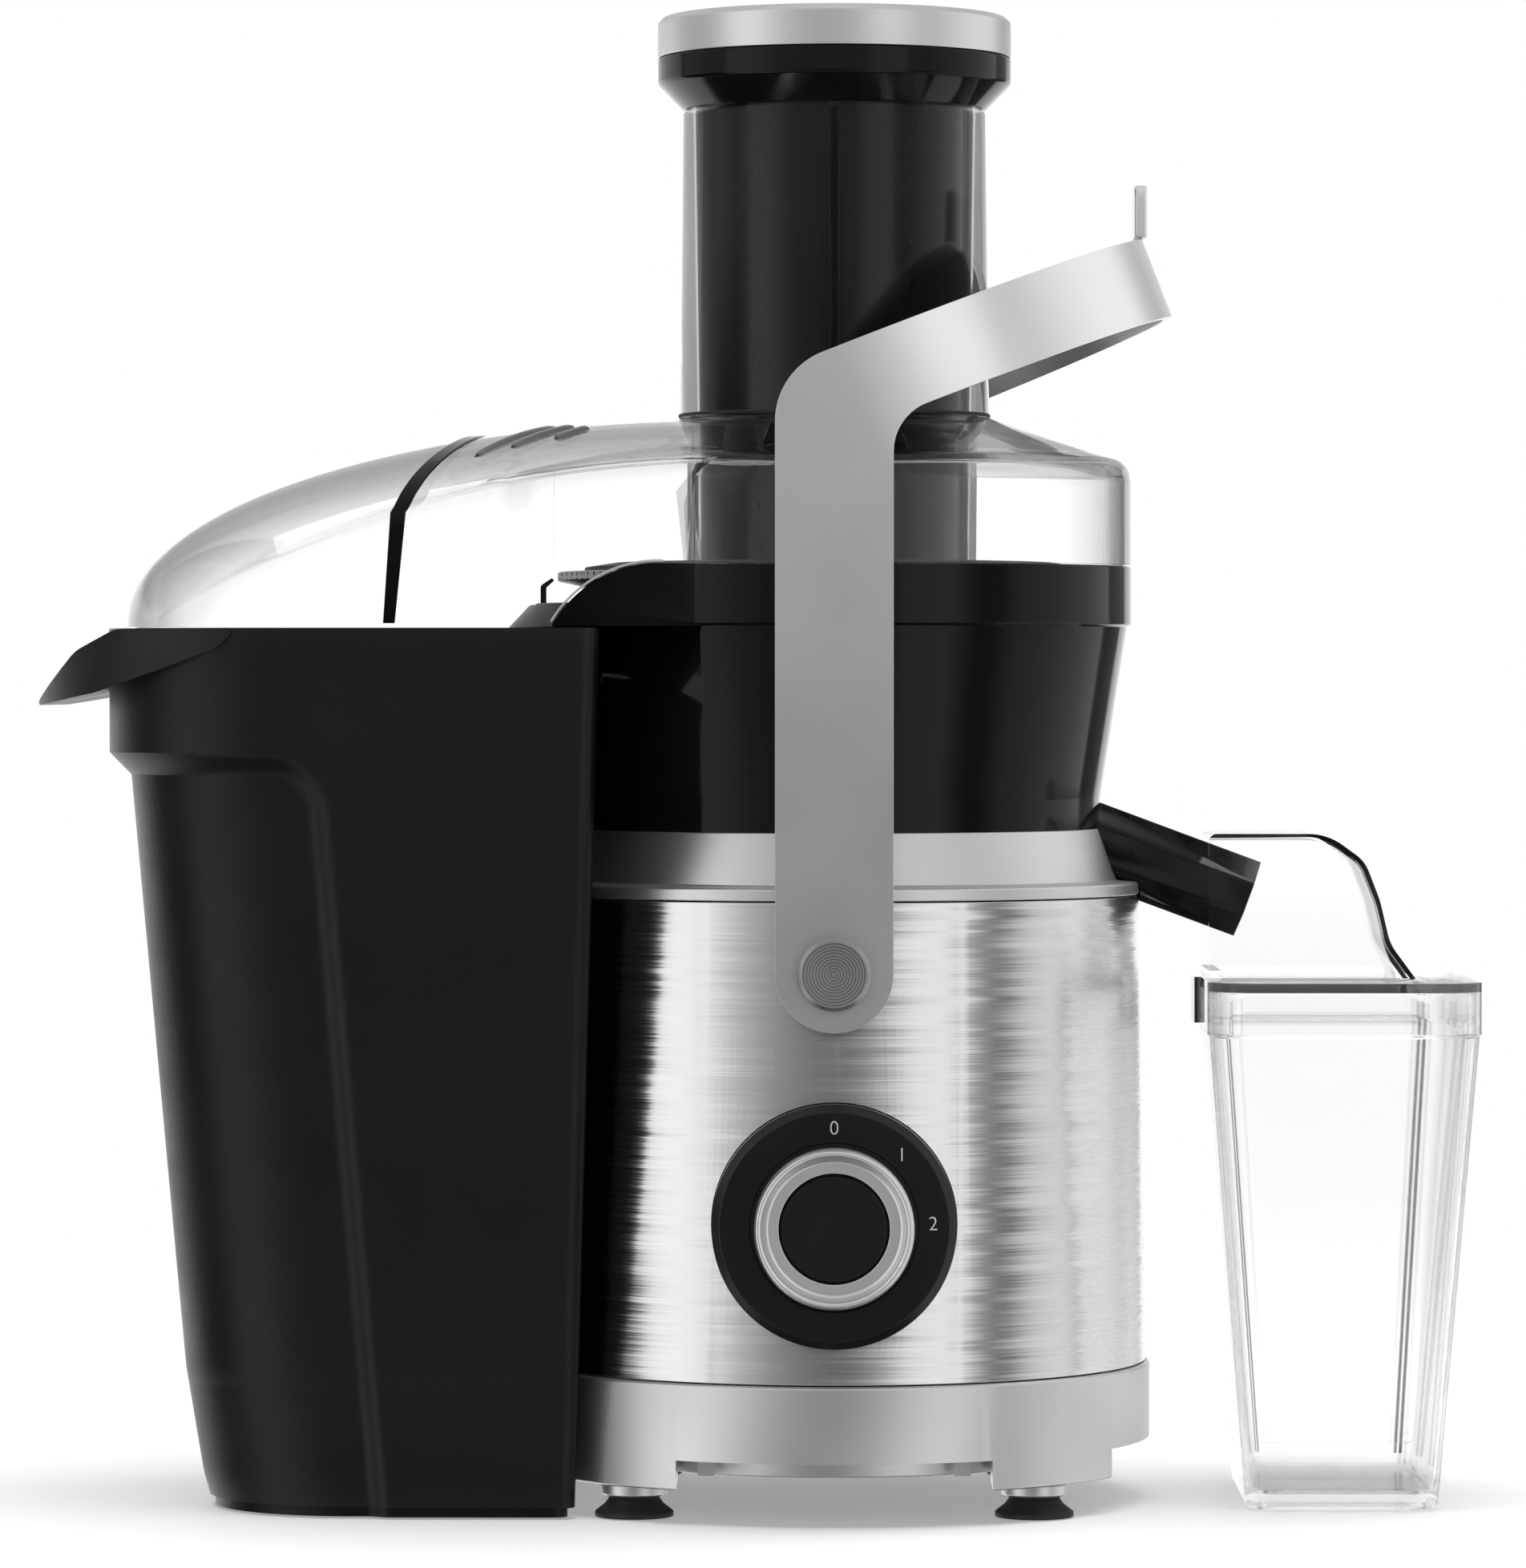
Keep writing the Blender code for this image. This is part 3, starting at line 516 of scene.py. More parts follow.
def combine(obj, steps, sharp=SHARP):
    """Applies Booleans, given as (operation, tool), and clears the tools away."""
    for operation, other in steps:
        modifier = obj.modifiers.new(operation.lower(), "BOOLEAN")
        modifier.operation = operation
        modifier.object = other
    bpy.context.view_layer.update()
    graph = bpy.context.evaluated_depsgraph_get()
    made = bpy.data.meshes.new_from_object(obj.evaluated_get(graph))
    obj.modifiers.clear()
    old = obj.data
    obj.data = made
    made.name = old.name + "_joined"
    bpy.data.meshes.remove(old)
    for _, other in steps:
        bpy.data.objects.remove(other, do_unlink=True)
    made.shade_smooth()
    made.set_sharp_from_angle(angle=math.radians(sharp))
    return obj


def circle(x, z, radius, start, end, turns):
    """Points along an arc, from one angle to another in degrees."""
    angles = [math.radians(start + (end - start) * i / turns) for i in range(turns + 1)]
    return [(x + radius * math.cos(a), z + radius * math.sin(a)) for a in angles]


def superbox(x_low, x_high, half, r_left, r_right, z, turns):
    """A rectangle in plan with round corners, as points at height z."""
    corners = [
        (x_high - r_right, half - r_right, r_right, 0),
        (x_low + r_left, half - r_left, r_left, 90),
        (x_low + r_left, r_left - half, r_left, 180),
        (x_high - r_right, r_right - half, r_right, 270),
    ]
    points = []
    for x, y, radius, start in corners:
        for i in range(turns + 1):
            angle = math.radians(start + 90 * i / turns)
            points.append((x + radius * math.cos(angle), y + radius * math.sin(angle), z))
    return points


# ---------------------------------------------------------------- the pusher and the feed chute

BOWL_RIM = top_of("juice_bowl")
# Where the chute stands on the dome.
SHOULDER_Z = 301.9


def pusher():
    cap_foot, cap_top, cap_r = foot_of("pusher_cap"), top_of("pusher_cap"), reach_of("pusher_cap")
    cap = [(0, cap_top - 0.6), (cap_r - 5, cap_top - 0.5, 8), (cap_r - 1.6, cap_top, 1.4)]
    cap_foot -= 0.5
    cap += [(cap_r, cap_top - 1.7, 1.0), (cap_r, cap_foot, 0.3), (cap_r - 1.5, cap_foot), (0, cap_foot)]
    lathe("pusher_cap_disc", cap, "pusher", SILVER, ["pusher_cap"])
    rim_top = cap_foot - 0.2
    rim_foot = 395.3
    wall = [(0, rim_top), (cap_r, rim_top, 0.5), (cap_r, rim_foot, 1.6), (42.3, 388.1, 0.8)]
    wall += [(38.9, 388.1, 0.3), (36.7, foot_of("pusher_body"), 1.2), (34.4, foot_of("pusher_body"), 0.6)]
    wall += [(34.2, 218.6), (0, 218.6)]
    body = lathe("pusher_shaft", wall, "pusher", GLOSS, ["pusher_body"])
    cut(body, key_groove())


def key_groove():
    """The upright groove down the pusher's front that keys it in the chute."""
    half, depth = 1.1, 1.0
    sections = []
    for z, radius in ((386.0, 38.9), (213.0, 36.7)):
        out, into = -(radius + 2), -(radius - depth)
        sections.append([(-half, out, z), (half, out, z), (half * 0.7, into, z), (-half * 0.7, into, z)])
    return loft_tool("groove", sections)


def chute():
    """The clear feed chute, and the thin seal where it stands on the lid."""
    top, foot = top_of("feed_chute"), foot_of("feed_chute")
    seat = SHOULDER_Z + 0.3
    wall = [(42.3, top, 0.8), (43.4, seat, 0.4), (40.1, seat), (39.4, foot, 0.6), (37.2, foot, 0.6)]
    wall += [(39.7, top, 0.8)]
    lathe("feed_chute_wall", wall, "lid", CLEAR_CHUTE, ["feed_chute"])
    joint = [(43.3, SHOULDER_Z + 1.3), (43.7, SHOULDER_Z + 1.1), (43.7, SHOULDER_Z + 0.4), (43.3, seat)]
    seal = lathe("chute_joint", joint, "lid", RUBBER, turns=3)


pusher()
chute()


# ---------------------------------------------------------------- the motor base


def base():
    """The steel sleeve, the collar on it, and the hoop and inner hoop that it stands on."""
    sleeve_top, sleeve_foot = top_of("steel_sleeve"), foot_of("steel_sleeve")
    sleeve = [(85.3, sleeve_top, 0.3), (87.3, sleeve_foot, 0.3), (86.0, sleeve_foot), (84.0, sleeve_top)]
    skin = lathe("sleeve_skin", sleeve, "base", STEEL, ["steel_sleeve"], steps=FINE)
    dial_hole = tube_tool("dial_hole", 33.3, -110, -40, middle("knob_bezel").z / MM)
    gland_hole = tube_tool("gland_hole", 9.3, 40, 110, middle("power_cord_gland").z / MM)
    cut(skin, dial_hole, gland_hole, spout_tool("spout_notch", 11.4, 60, 0))

    collar_top, collar_foot = top_of("top_collar"), foot_of("top_collar")
    profile = [(74.4, collar_top, 0.5), (79.3, 172.9, 0.6), (85.4, 172.3, 0.7), (85.4, collar_foot, 0.5)]
    profile += [(80.5, collar_foot), (76.0, 171.5), (71.9, collar_top)]
    collar = lathe("collar_ring", profile, "base", SILVER, ["top_collar"], steps=FINE)
    cut(collar, spout_tool("notch", 11.4, 60, 0))

    ring_top, ring_foot = top_of("base_ring"), foot_of("base_ring")
    profile = [(88.4, ring_top, 1.0), (88.4, ring_foot, 0.8), (66, ring_foot, 0.8)]
    profile += [(66, 21), (84.6, 21), (84.6, ring_top)]
    ring = lathe("base_hoop", profile, "base", SILVER, ["base_ring"], steps=FINE)
    lengthwise = box_tool("gap", (-42.9, -100, 0), (42.9, 100, 17.5))
    crosswise = box_tool("gap", (-100, -44.5, 0), (100, 44.5, 17.4))
    cut(ring, lengthwise, crosswise)
    soften(ring, 0.5, 2)

    profile = [(64.2, 17.7), (64.2, 11.4, 0.5), (61.6, 11.4, 0.5), (61.6, 17.7)]
    inner = lathe("base_inner_hoop", profile, "base", SILVER, steps=192)
    posts = [box_tool("post", (x - 2.2, -62.5, 11.8), (x + 2.2, -58.5, 17.6)) for x in (-35, 35)]
    combine(inner, [("UNION", post) for post in posts])


def box_into(bm, low, high):
    made = bmesh.ops.create_cube(bm, size=1)["verts"]
    low, high = Vector(low), Vector(high)
    bmesh.ops.scale(bm, vec=(high - low) * MM, verts=made)
    bmesh.ops.translate(bm, vec=at(*((low + high) / 2)), verts=made)
    return made


def tube_tool(name, radius, front, rear, z):
    """A helper cylinder along Y."""
    place = Matrix.Translation(at(0, (front + rear) / 2, z)) @ TURN[FRONT]
    size = {"segments": 96, "radius1": radius * MM, "radius2": radius * MM, "depth": (rear - front) * MM}
    return tool(name, lambda bm: bmesh.ops.create_cone(bm, cap_ends=True, matrix=place, **size))


# The spout's fall, and the x and z of the middle of its open end.
SPOUT_SLOPE = math.radians(20.4)
SPOUT_MOUTH = (115.6, 167.4)


def spout_tool(name, half, inward, outward, round_off=0.0):
    """An eight-sided helper bar along the spout's slope, its corners rounded off where round_off is set."""
    cos, sin = math.cos(SPOUT_SLOPE), math.sin(SPOUT_SLOPE)
    corner = half * math.tan(math.radians(22.5))
    flats = [(half, -corner), (half, corner), (corner, half), (-corner, half)]
    flats += [(-half, corner), (-half, -corner), (-corner, -half), (corner, -half)]
    outline = rounded_path([(*p, round_off) for p in flats], True, 6)
    sections = []
    for run in (-inward, outward):
        x, z = SPOUT_MOUTH[0] + run * cos, SPOUT_MOUTH[1] - run * sin
        sections.append([(x + up * sin, across, z + up * cos) for across, up in outline])
    return loft_tool(name, sections)


def feet():
    for node in ("front_left", "front_right", "rear_left", "rear_right"):
        spot = middle(f"foot_pad_{node}")
        centre = ((spot.x - AXIS.x) / MM, spot.y / MM, 0)
        pad = [(0, 5.6), (6.6, 5.6, 0.4), (8.0, 3.6, 2.0), (10.8, 1.4, 0.7), (10.8, 0.05, 0.4), (9.8, 0.05)]
        pad += [(9.2, 0.5), (0, 0.5)]
        lathe(f"foot_rubber_{node}", pad, "base", RUBBER, [f"foot_pad_{node}"], 96, centre)
        collar = [(0, 9.1), (9.0, 9.1, 0.3), (9.0, 6.3, 0.5), (8.0, 5.7, 0.4), (0, 5.7)]
        lathe(f"foot_boss_{node}", collar, "base", SILVER, [f"foot_collar_{node}"], 96, centre)


base()
feet()


# ---------------------------------------------------------------- the locking arm

# The rise of the arm's loop, half the upright's width, and the metal's thickness.
ARM_TILT = math.radians(21.4)
ARM_HALF = 15.9
ARM_WALL = 2.8
# The loop's height, square to its slope.
BAND_HEIGHT = 22.9
# The height of the loop's upper edge at the motor axis, and how far that edge runs from there.
ARM_TOP = 317.8
ARM_RUN = 100


def arm_outline(pivot_z):
    """The arm from the front: round about its pivot, upright, then bent over into the sloping loop."""
    cos, sin, slope = math.cos(ARM_TILT), math.sin(ARM_TILT), math.tan(ARM_TILT)
    turn = 90 + math.degrees(ARM_TILT)
    inner, outer = 14, 20
    inner_x = ARM_HALF + inner
    inner_z = ARM_TOP - BAND_HEIGHT / cos + slope * inner_x - inner / cos
    outer_x = outer - ARM_HALF
    outer_z = ARM_TOP + slope * outer_x - outer / cos
    tip = (ARM_RUN * cos, ARM_TOP + ARM_RUN * sin)
    outline = circle(0, pivot_z, ARM_HALF, 180, 360, 40)
    outline += circle(inner_x, inner_z, inner, 180, turn, 16)
    outline += [(tip[0] + BAND_HEIGHT * sin, tip[1] - BAND_HEIGHT * cos), tip]
    return outline + circle(outer_x, outer_z, outer, turn, 180, 16)


def arm():
    """The locking arm as one bent band, its thumb tab, and the caps of its two pivots."""
    reach = reach_of("locking_arm")
    pivot_z = middle("arm_pivot_front").z / MM
    band = front_tool("locking_band", arm_outline(pivot_z), 100)
    inside = reach - ARM_WALL
    bend = [(-90, -reach)] + circle(0, 0, reach, -90, 90, 128) + [(-90, reach)]
    bend += [(-90, inside)] + circle(0, 0, inside, 90, -90, 128) + [(-90, -inside)]
    place = Matrix.Translation(at(0, 0, ARM_TOP)) @ Matrix.Rotation(-ARM_TILT, 4, "Y")
    wall = tool("arm_wall", lambda bm: prism_into(bm, bend, -200, 200, place))
    combine(band, [("INTERSECT", wall)])
    become(band, "locking_band", ARM_SILVER)
    soften(band, 0.45, 2, 50)
    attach(band, "arm")
    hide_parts("locking_arm")

    low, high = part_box("thumb_tab")
    x_low, x_high = (low.x - AXIS.x) / MM, (high.x - AXIS.x) / MM
    half, foot, top = high.y / MM, low.z / MM, high.z / MM
    outline = [(-half, foot), (half, foot), (half, top, 3.5), (-half, top, 3.5)]
    soften(prism("thumb_plate", outline, x_low, x_high, "arm", ARM_SILVER, ["thumb_tab"], SIDE, 8), 0.7)

    for end, facing in (("front", FRONT), ("rear", REAR)):
        face = max(abs(corner.y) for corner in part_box(f"arm_pivot_{end}")) / MM
        bolt = [(0, face - 0.25), (3.2, face - 0.2), (8.9, face, 0.5), (9.9, face - 0.9, 0.4)]
        bolt += [(9.9, 93.0, 0.2), (6, 92.9), (6, 77.6), (0, 77.6)]
        lathe(f"pivot_cap_{end}", bolt, "base", FACED, [f"arm_pivot_{end}"], 128, (0, 0, pivot_z), facing)


# ---------------------------------------------------------------- the dial


DIGIT_RADIUS = 26.6


def digit(character, angle, dial_z, face):
    """A plain number printed on the bezel, at an angle clockwise from the top."""
    text = bpy.data.curves.new(f"digit_{character}", "FONT")
    text.body = character
    text.size = 5.4 * MM
    text.align_x = text.align_y = "CENTER"
    text.extrude = 0.02 * MM
    text.offset = -0.07 * MM
    obj = bpy.data.objects.new(f"dial_digit_{character}", text)
    bpy.context.scene.collection.objects.link(obj)
    turn = math.radians(angle)
    obj.location = at(DIGIT_RADIUS * math.sin(turn), -face - 0.03, dial_z + DIGIT_RADIUS * math.cos(turn))
    obj.rotation_euler = (math.radians(90), 0, 0)
    obj.scale = (0.97, 1, 1)
    obj.data.materials.append(PRINT)
    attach(obj, "base")


def dial():
    z = middle("knob_bezel").z / MM
    centre = (0, 0, z)
    face = -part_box("knob_bezel")[0].y / MM
    front = -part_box("knob_ring")[0].y / MM
    bezel = [(3.4, face - 0.5), (22.6, face - 0.5), (22.9, face - 0.1, 0.3), (30.9, face, 0.5)]
    bezel += [(33.0, face - 1.9, 0.4), (33.0, 78, 0.3), (16, 78), (16, 66.3), (3.4, 66.3)]
    lathe("dial_bezel", bezel, "base", BEZEL, ["knob_bezel"], 192, centre, FRONT)
    ring = [(14.9, 92.9), (14.9, front - 3.5, 0.2), (18.3, front - 3.3, 1.2), (19.7, front - 0.5, 0.8)]
    ring += [(20.8, front - 0.1, 0.7), (21.5, front - 1.6, 0.9), (21.5, 92.9, 0.3)]
    lathe("dial_grip", ring, "dial", RING_SILVER, ["knob_ring"], 192, centre, FRONT)
    top = front - 3.5
    cap = [(0, top - 0.35), (13.9, top - 0.35, 0.4), (14.7, top - 1.2, 0.3), (14.7, 93), (0, 93)]
    lathe("dial_cap", cap, "dial", CAP_BLACK, ["knob_cap"], 128, centre, FRONT)
    for character, angle in (("0", 0), ("1", 43), ("2", 88)):
        digit(character, angle, z, face)


# ---------------------------------------------------------------- the juice bowl and the basket

# The arc in which the bowl's rim drops beside the duct: its centre's x and z, and its radius.
RIM_ARC = (-47.5, 226.9, 33.4)
# The duct's lowest height, half its width outside, and its wall.
BAND_FLOOR = 243.3
DUCT_HALF = 74.0
WALL = 2.4


def juice_bowl():
    """The bowl, with its outlet towards the bin and its spout towards the jug."""
    rim, foot = BOWL_RIM, foot_of("juice_bowl")
    outer, ledge = reach_of("juice_bowl"), 244.1
    profile = [(outer, rim, 0.5), (outer, ledge, 0.5), (82.0, 243.4, 0.2), (74.5, 195.7, 9)]
    profile += [(72.9, foot, 0.8), (14, foot), (14, 203), (17, 203), (17, 190.5, 1.5), (70.0, 190.5, 3)]
    profile += [(71.9, 196.5, 3), (79.3, 243.5), (80.75, 245.0, 0.5), (80.75, rim, 0.4)]
    bowl = lathe("bowl_moulding", profile, "base", GLOSS, ["juice_bowl"], steps=FINE)
    x, z, radius = RIM_ARC
    gutter = [(-76.5, BAND_FLOOR), (-30, BAND_FLOOR), (-30, rim - 0.1)] + circle(x, z, radius, 90, 150, 40)
    inside = [(0, 270), (80.7, 270), (80.7, 245.0), (79.2, 243.5), (75.8, 222), (0, 222)]
    half = DUCT_HALF - WALL
    steps = [
        ("UNION", front_tool("gutter", gutter, DUCT_HALF)),
        ("DIFFERENCE", turned_tool("inside", inside)),
        ("DIFFERENCE", box_tool("outlet", (-120, -half, 245.6), (-30, half, 280))),
        ("UNION", outlet_lip()),
        ("UNION", spout_tool("spout", 11, 57, 0, 1.6)),
        ("DIFFERENCE", spout_tool("spout_bore", 8.7, 52.5, 5, 1.6)),
    ]
    combine(bowl, steps)
    soften(bowl, 0.35, 2, 50)
    post = [(-82.4, 249.0), (-80.8, 249.0), (-80.8, 254.6, 0.8), (-78.6, 256.6, 0.2)]
    post += [(-79.2, 257.3, 0.2), (-82.4, 255.2, 1.4)]
    prism("outlet_post", post, -1, 1, "base", GLOSS)


def outlet_lip():
    """The lip below the outlet, curved round the basket and sloping down towards the bin."""
    profile = [(85.5, 250.0, 0.8), (91.3, BAND_FLOOR), (81.5, BAND_FLOOR), (79.5, 250)]
    lip = turned_tool("lip", rounded_path(profile), closed=True)
    return combine(lip, [("INTERSECT", box_tool("lip_reach", (-95, -50, 240), (-50, 50, 255)))])


def basket():
    """The filter basket's sieve cone and rim, with the grater disc in it."""
    cone = [(77.5, 258.9, 0.5), (77.5, 256.3, 0.5), (71.2, 255.0, 0.6), (46, 205.1, 1.2), (12.3, 205.1)]
    cone += [(12.3, 206.7), (44.7, 206.7, 0.8), (69.9, 256.6, 0.5), (70.2, 258.9, 0.3)]
    lathe("basket_sieve", cone, "rotor", SIEVE, ["filter_basket"], steps=192)
    rim = [(70.0, 258.9), (70.0, 260.2, 0.4), (61.5, 261.5, 0.6), (58.0, 261.5, 0.4)]
    rim += [(58.0, 260.0), (68.0, 258.0)]
    lathe("basket_rim", rim, "rotor", MATTE, steps=192)
    teeth(208.5, 207.3)


def teeth(top, foot):
    """The grater disc, with its raised cutting teeth in spiral rows."""
    bm = bmesh.new()
    disc = [(43.5, top), (43.5, foot), (12.6, foot), (12.6, top)]
    lathe_into(bm, disc, 128, ON_AXIS, True)
    for row in range(12):
        for step in range(9):
            radius = 15.5 + 3.1 * step
            angle = math.radians(30 * row + 7 * step)
            x, y = radius * math.cos(angle), radius * math.sin(angle)
            tip = bm.verts.new(at(x - 0.5 * math.sin(angle), y + 0.5 * math.cos(angle), top + 1.3))
            foot_ring = []
            for dx, dy in ((-0.9, -0.6), (0.9, -0.6), (0.9, 0.6), (-0.9, 0.6)):
                across = Matrix.Rotation(angle, 2) @ Vector((dx, dy))
                foot_ring.append(bm.verts.new(at(x + across.x, y + across.y, top - 0.4)))
            bm.faces.new(foot_ring)
            for i in range(4):
                bm.faces.new((foot_ring[i], foot_ring[(i + 1) % 4], tip))
    piece_from("grater_teeth", bm, "rotor", BARE, ["grater_disc"])


arm()
dial()
juice_bowl()
basket()


# ---------------------------------------------------------------- the lid

# The duct runs this far to the left from its start.
DUCT_RUN = 168.2
DUCT_START = -30
LID_RADIUS = 83.25
DOME = [(44.5, SHOULDER_Z), (74, 291.8, 9), (80.5, 290, 6), (82.6, 287.6, 3), (LID_RADIUS, 284, 4)]


def duct_half(x, inset):
    """Half the duct's width at x: it rounds off in plan over its last 48 mm."""
    past = max(0.0, (-150 - x) / (48.2 - inset))
    return max(0.6, (DUCT_HALF - inset) * math.sqrt(max(0.0, 1 - past**2)))


def duct_crown(x, inset):
    """The height of the roof's middle line at x."""
    run = min(1.0, (DUCT_START - x) / (DUCT_RUN - inset))
    return BAND_FLOOR + 1.6 + (56.4 - inset) * math.sqrt(max(0.0, 1 - run**2))


def duct_edge(x, inset):
    """The height at which the duct's upright walls meet its roof at x."""
    run = min(1.0, (DUCT_START - x) / (157.5 - inset))
    return BAND_FLOOR + 1.0 + (45.5 - inset) * (1 - run**2)


def duct_foot(x, gap):
    """The duct's lower edge, which follows the rim of the bowl's outlet."""
    arc_x, arc_z, radius = RIM_ARC
    if x > arc_x:
        return BOWL_RIM + gap
    if x < arc_x - (radius + 2 * gap) * math.cos(math.radians(29)):
        return BAND_FLOOR
    return arc_z + math.sqrt((radius + 2 * gap) ** 2 - (x - arc_x) ** 2)


def duct_roof(x, y, inset=0.0):
    """The roof's height: an arch across the duct, squared a little towards its walls."""
    low, high = duct_edge(x, inset), duct_crown(x, inset)
    share = min(1.0, abs(y) / duct_half(x, inset))
    return low + (high - low) * (1 - share**2.4) ** 0.7


def duct_tool(name, inset, drop):
    """The duct as a solid: its walls moved in by inset, and its foot lowered by drop."""
    lengthwise, crosswise = 72, 32
    sections = []
    for i in range(lengthwise + 1):
        step = math.sin(math.pi / 2 * (1 - i / lengthwise))
        x = DUCT_START - step * (DUCT_RUN - inset)
        half, foot = duct_half(x, inset), duct_foot(x, 0.3) - drop
        across = [half * math.sin(math.pi / 2 * (2 * k / crosswise - 1)) for k in range(crosswise + 1)]
        roof = [(x, y, max(foot + 0.02, duct_roof(x, y, inset))) for y in across]
        sections.append([(x, -half, foot)] + roof + [(x, half, foot)])
    return loft_tool(name, sections)


def on_roof(face):
    """Whether this face is on the middle of the duct's roof."""
    x, y, z = (face.center - AXIS) / MM
    return -112 < x < DUCT_START and z > duct_edge(x, 0) - 3 and abs(y) < 0.62 * duct_half(x, 0)


def on_slope(face):
    """Whether this face is on the dome's slope, round the chute."""
    x, y, z = (face.center - AXIS) / MM
    return x > DUCT_START and z > 287.5 and 43 < math.hypot(x, y) < 80


def lid_shell():
    """The clear dome and duct, hollowed out as one moulding, with painted shade: greyer clear on the roof's
    middle and on the slope round the chute.
    """
    rim = BOWL_RIM + 0.3
    outer = [(0, SHOULDER_Z)] + DOME + [(LID_RADIUS, rim), (0, rim)]
    lid = turned_tool("lid_dome", rounded_path(outer, False, 6))
    hollow = [(0, 299.5), (43.7, 299.5), (73.4, 289.3, 9), (79.2, 287.7, 3), (80.85, 284, 3)]
    hollow += [(80.85, 240), (0, 240)]
    steps = [
        ("UNION", duct_tool("duct_outside", 0, 0)),
        ("DIFFERENCE", turned_tool("lid_inside", rounded_path(hollow, False, 6))),
        ("DIFFERENCE", duct_tool("duct_inside", WALL, 8)),
        ("DIFFERENCE", turned_tool("chute_hole", [(0, 310), (40.5, 310), (40.5, 290), (0, 290)])),
    ]
    combine(lid, steps, 30)
    become(lid, "lid_dome", CLEAR)
    # Painted shade: the roof's middle and the dome's slope get greyer copies of the same clear.
    repaint(lid, on_roof, DARK_SHADE_CLEAR)
    repaint(lid, on_slope, LIGHT_SHADE_CLEAR)
    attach(lid, "lid")
    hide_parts("lid_shell")


def lid_ribs():
    """The slanted baffle inside each side of the duct, in the darker shade clear, with painted shade on its
    edge faces.
    """
    outline = [(-42.9, 279.8, 0.8), (-37.7, 286.3, 0.8), (-35.6, 261.2), (-40.9, 261.2)]
    for end, near, far in (("rear", -67.8, -66.2), ("front", 66.2, 67.8)):
        baffle = prism(f"lid_baffle_{end}", outline, near, far, "lid", DARK_SHADE_CLEAR, turns=5)
        repaint(baffle, lambda face: face.normal.x > 0.7)


def painted_lid_edges():
    """Painted highlights: bright silver strips along the lid's lower edge, where it follows the arc of the
    bowl's rim, for the glint on its clear edge; and a thin strip of painted shade at the duct's panel step.
    """
    x, z, radius = RIM_ARC
    outline = circle(x, z, radius + 1.0, 88, 149, 40) + circle(x, z, radius + 0.4, 149, 88, 40)
    inside, outside = DUCT_HALF - 0.6, DUCT_HALF + 0.3
    for end, near, far in (("rear", -outside, -inside), ("front", inside, outside)):
        bm = bmesh.new()
        prism_into(bm, outline, near, far, FROM_FRONT)
        piece_from(f"lid_edge_{end}", bm, "lid", HIGHLIGHT_SILVER)
    # Painted shade: a thin grey strip for the line where the duct's front panel steps in.
    bm = bmesh.new()
    box_into(bm, (-76.0, -DUCT_HALF - 0.1, 261.5), (-75.8, -DUCT_HALF, 286.5))
    piece_from("duct_panel_step_shade", bm, "lid", LIGHT_SHADE_CLEAR)


# The two ends, seen from above, of each rib on the duct's roof.
GRIP_RIBS = [((-98, -60), (-77, -26)), ((-88, -57), (-72, -31)), ((-76, -54), (-68, -40))]


def grip_ribs():
    """Three raised ribs on the duct's roof, for the fingers, in the grey shaded clear that paints the dark
    they show.
    """
    count, around = 24, 12
    for i, (start, end) in enumerate(GRIP_RIBS):
        bm = bmesh.new()
        start, end = Vector(start), Vector(end)
        course = (end - start).normalized()
        side = Vector((-course.y, course.x))
        rings = []
        for k in range(count + 1):
            share = k / count
            spot = start + (end - start) * share
            fall = math.sqrt(max(0.0, 1 - (2 * share - 1) ** 8))
            ring = []
            for j in range(around):
                angle = 2 * math.pi * j / around
                across = 1.7 * fall * math.cos(angle)
                x, y = spot.x + side.x * across, spot.y + side.y * across
                lift = 1.3 * fall * math.sin(angle)
                ring.append((x, y, duct_roof(x, y) + max(lift, 0.02)))
            rings.append(ring)
        loft_into(bm, rings)
        rib = piece_from(f"grip_rib_{i + 1}", bm, "lid", SHADED_CLEAR)


def lid_catches():
    """The catch blocks at the dome's front and rear, shaped to its shoulder."""
    shoulder = [(0, 302.1), (44.7, 302.1), (74.2, 292.0), (80.8, 290.3), (84, 287), (84, 250), (0, 250)]
    outline = rounded_path([(-21.5, 288), (21.5, 288), (17, 299.4, 2.5), (-17, 299.4, 2.5)])
    for end in ("front", "rear"):
        low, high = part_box(f"lid_catch_{end}")
        near, far = low.y / MM, high.y / MM
        block = tool(f"catch_{end}", lambda bm: prism_into(bm, outline, -far, -near, FROM_FRONT))
        cut(block, turned_tool("clear", shoulder, steps=192))
        become(block, f"lid_hook_{end}", GLOSS)
        soften(block, 0.5)
        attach(block, "lid")
        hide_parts(f"lid_catch_{end}")


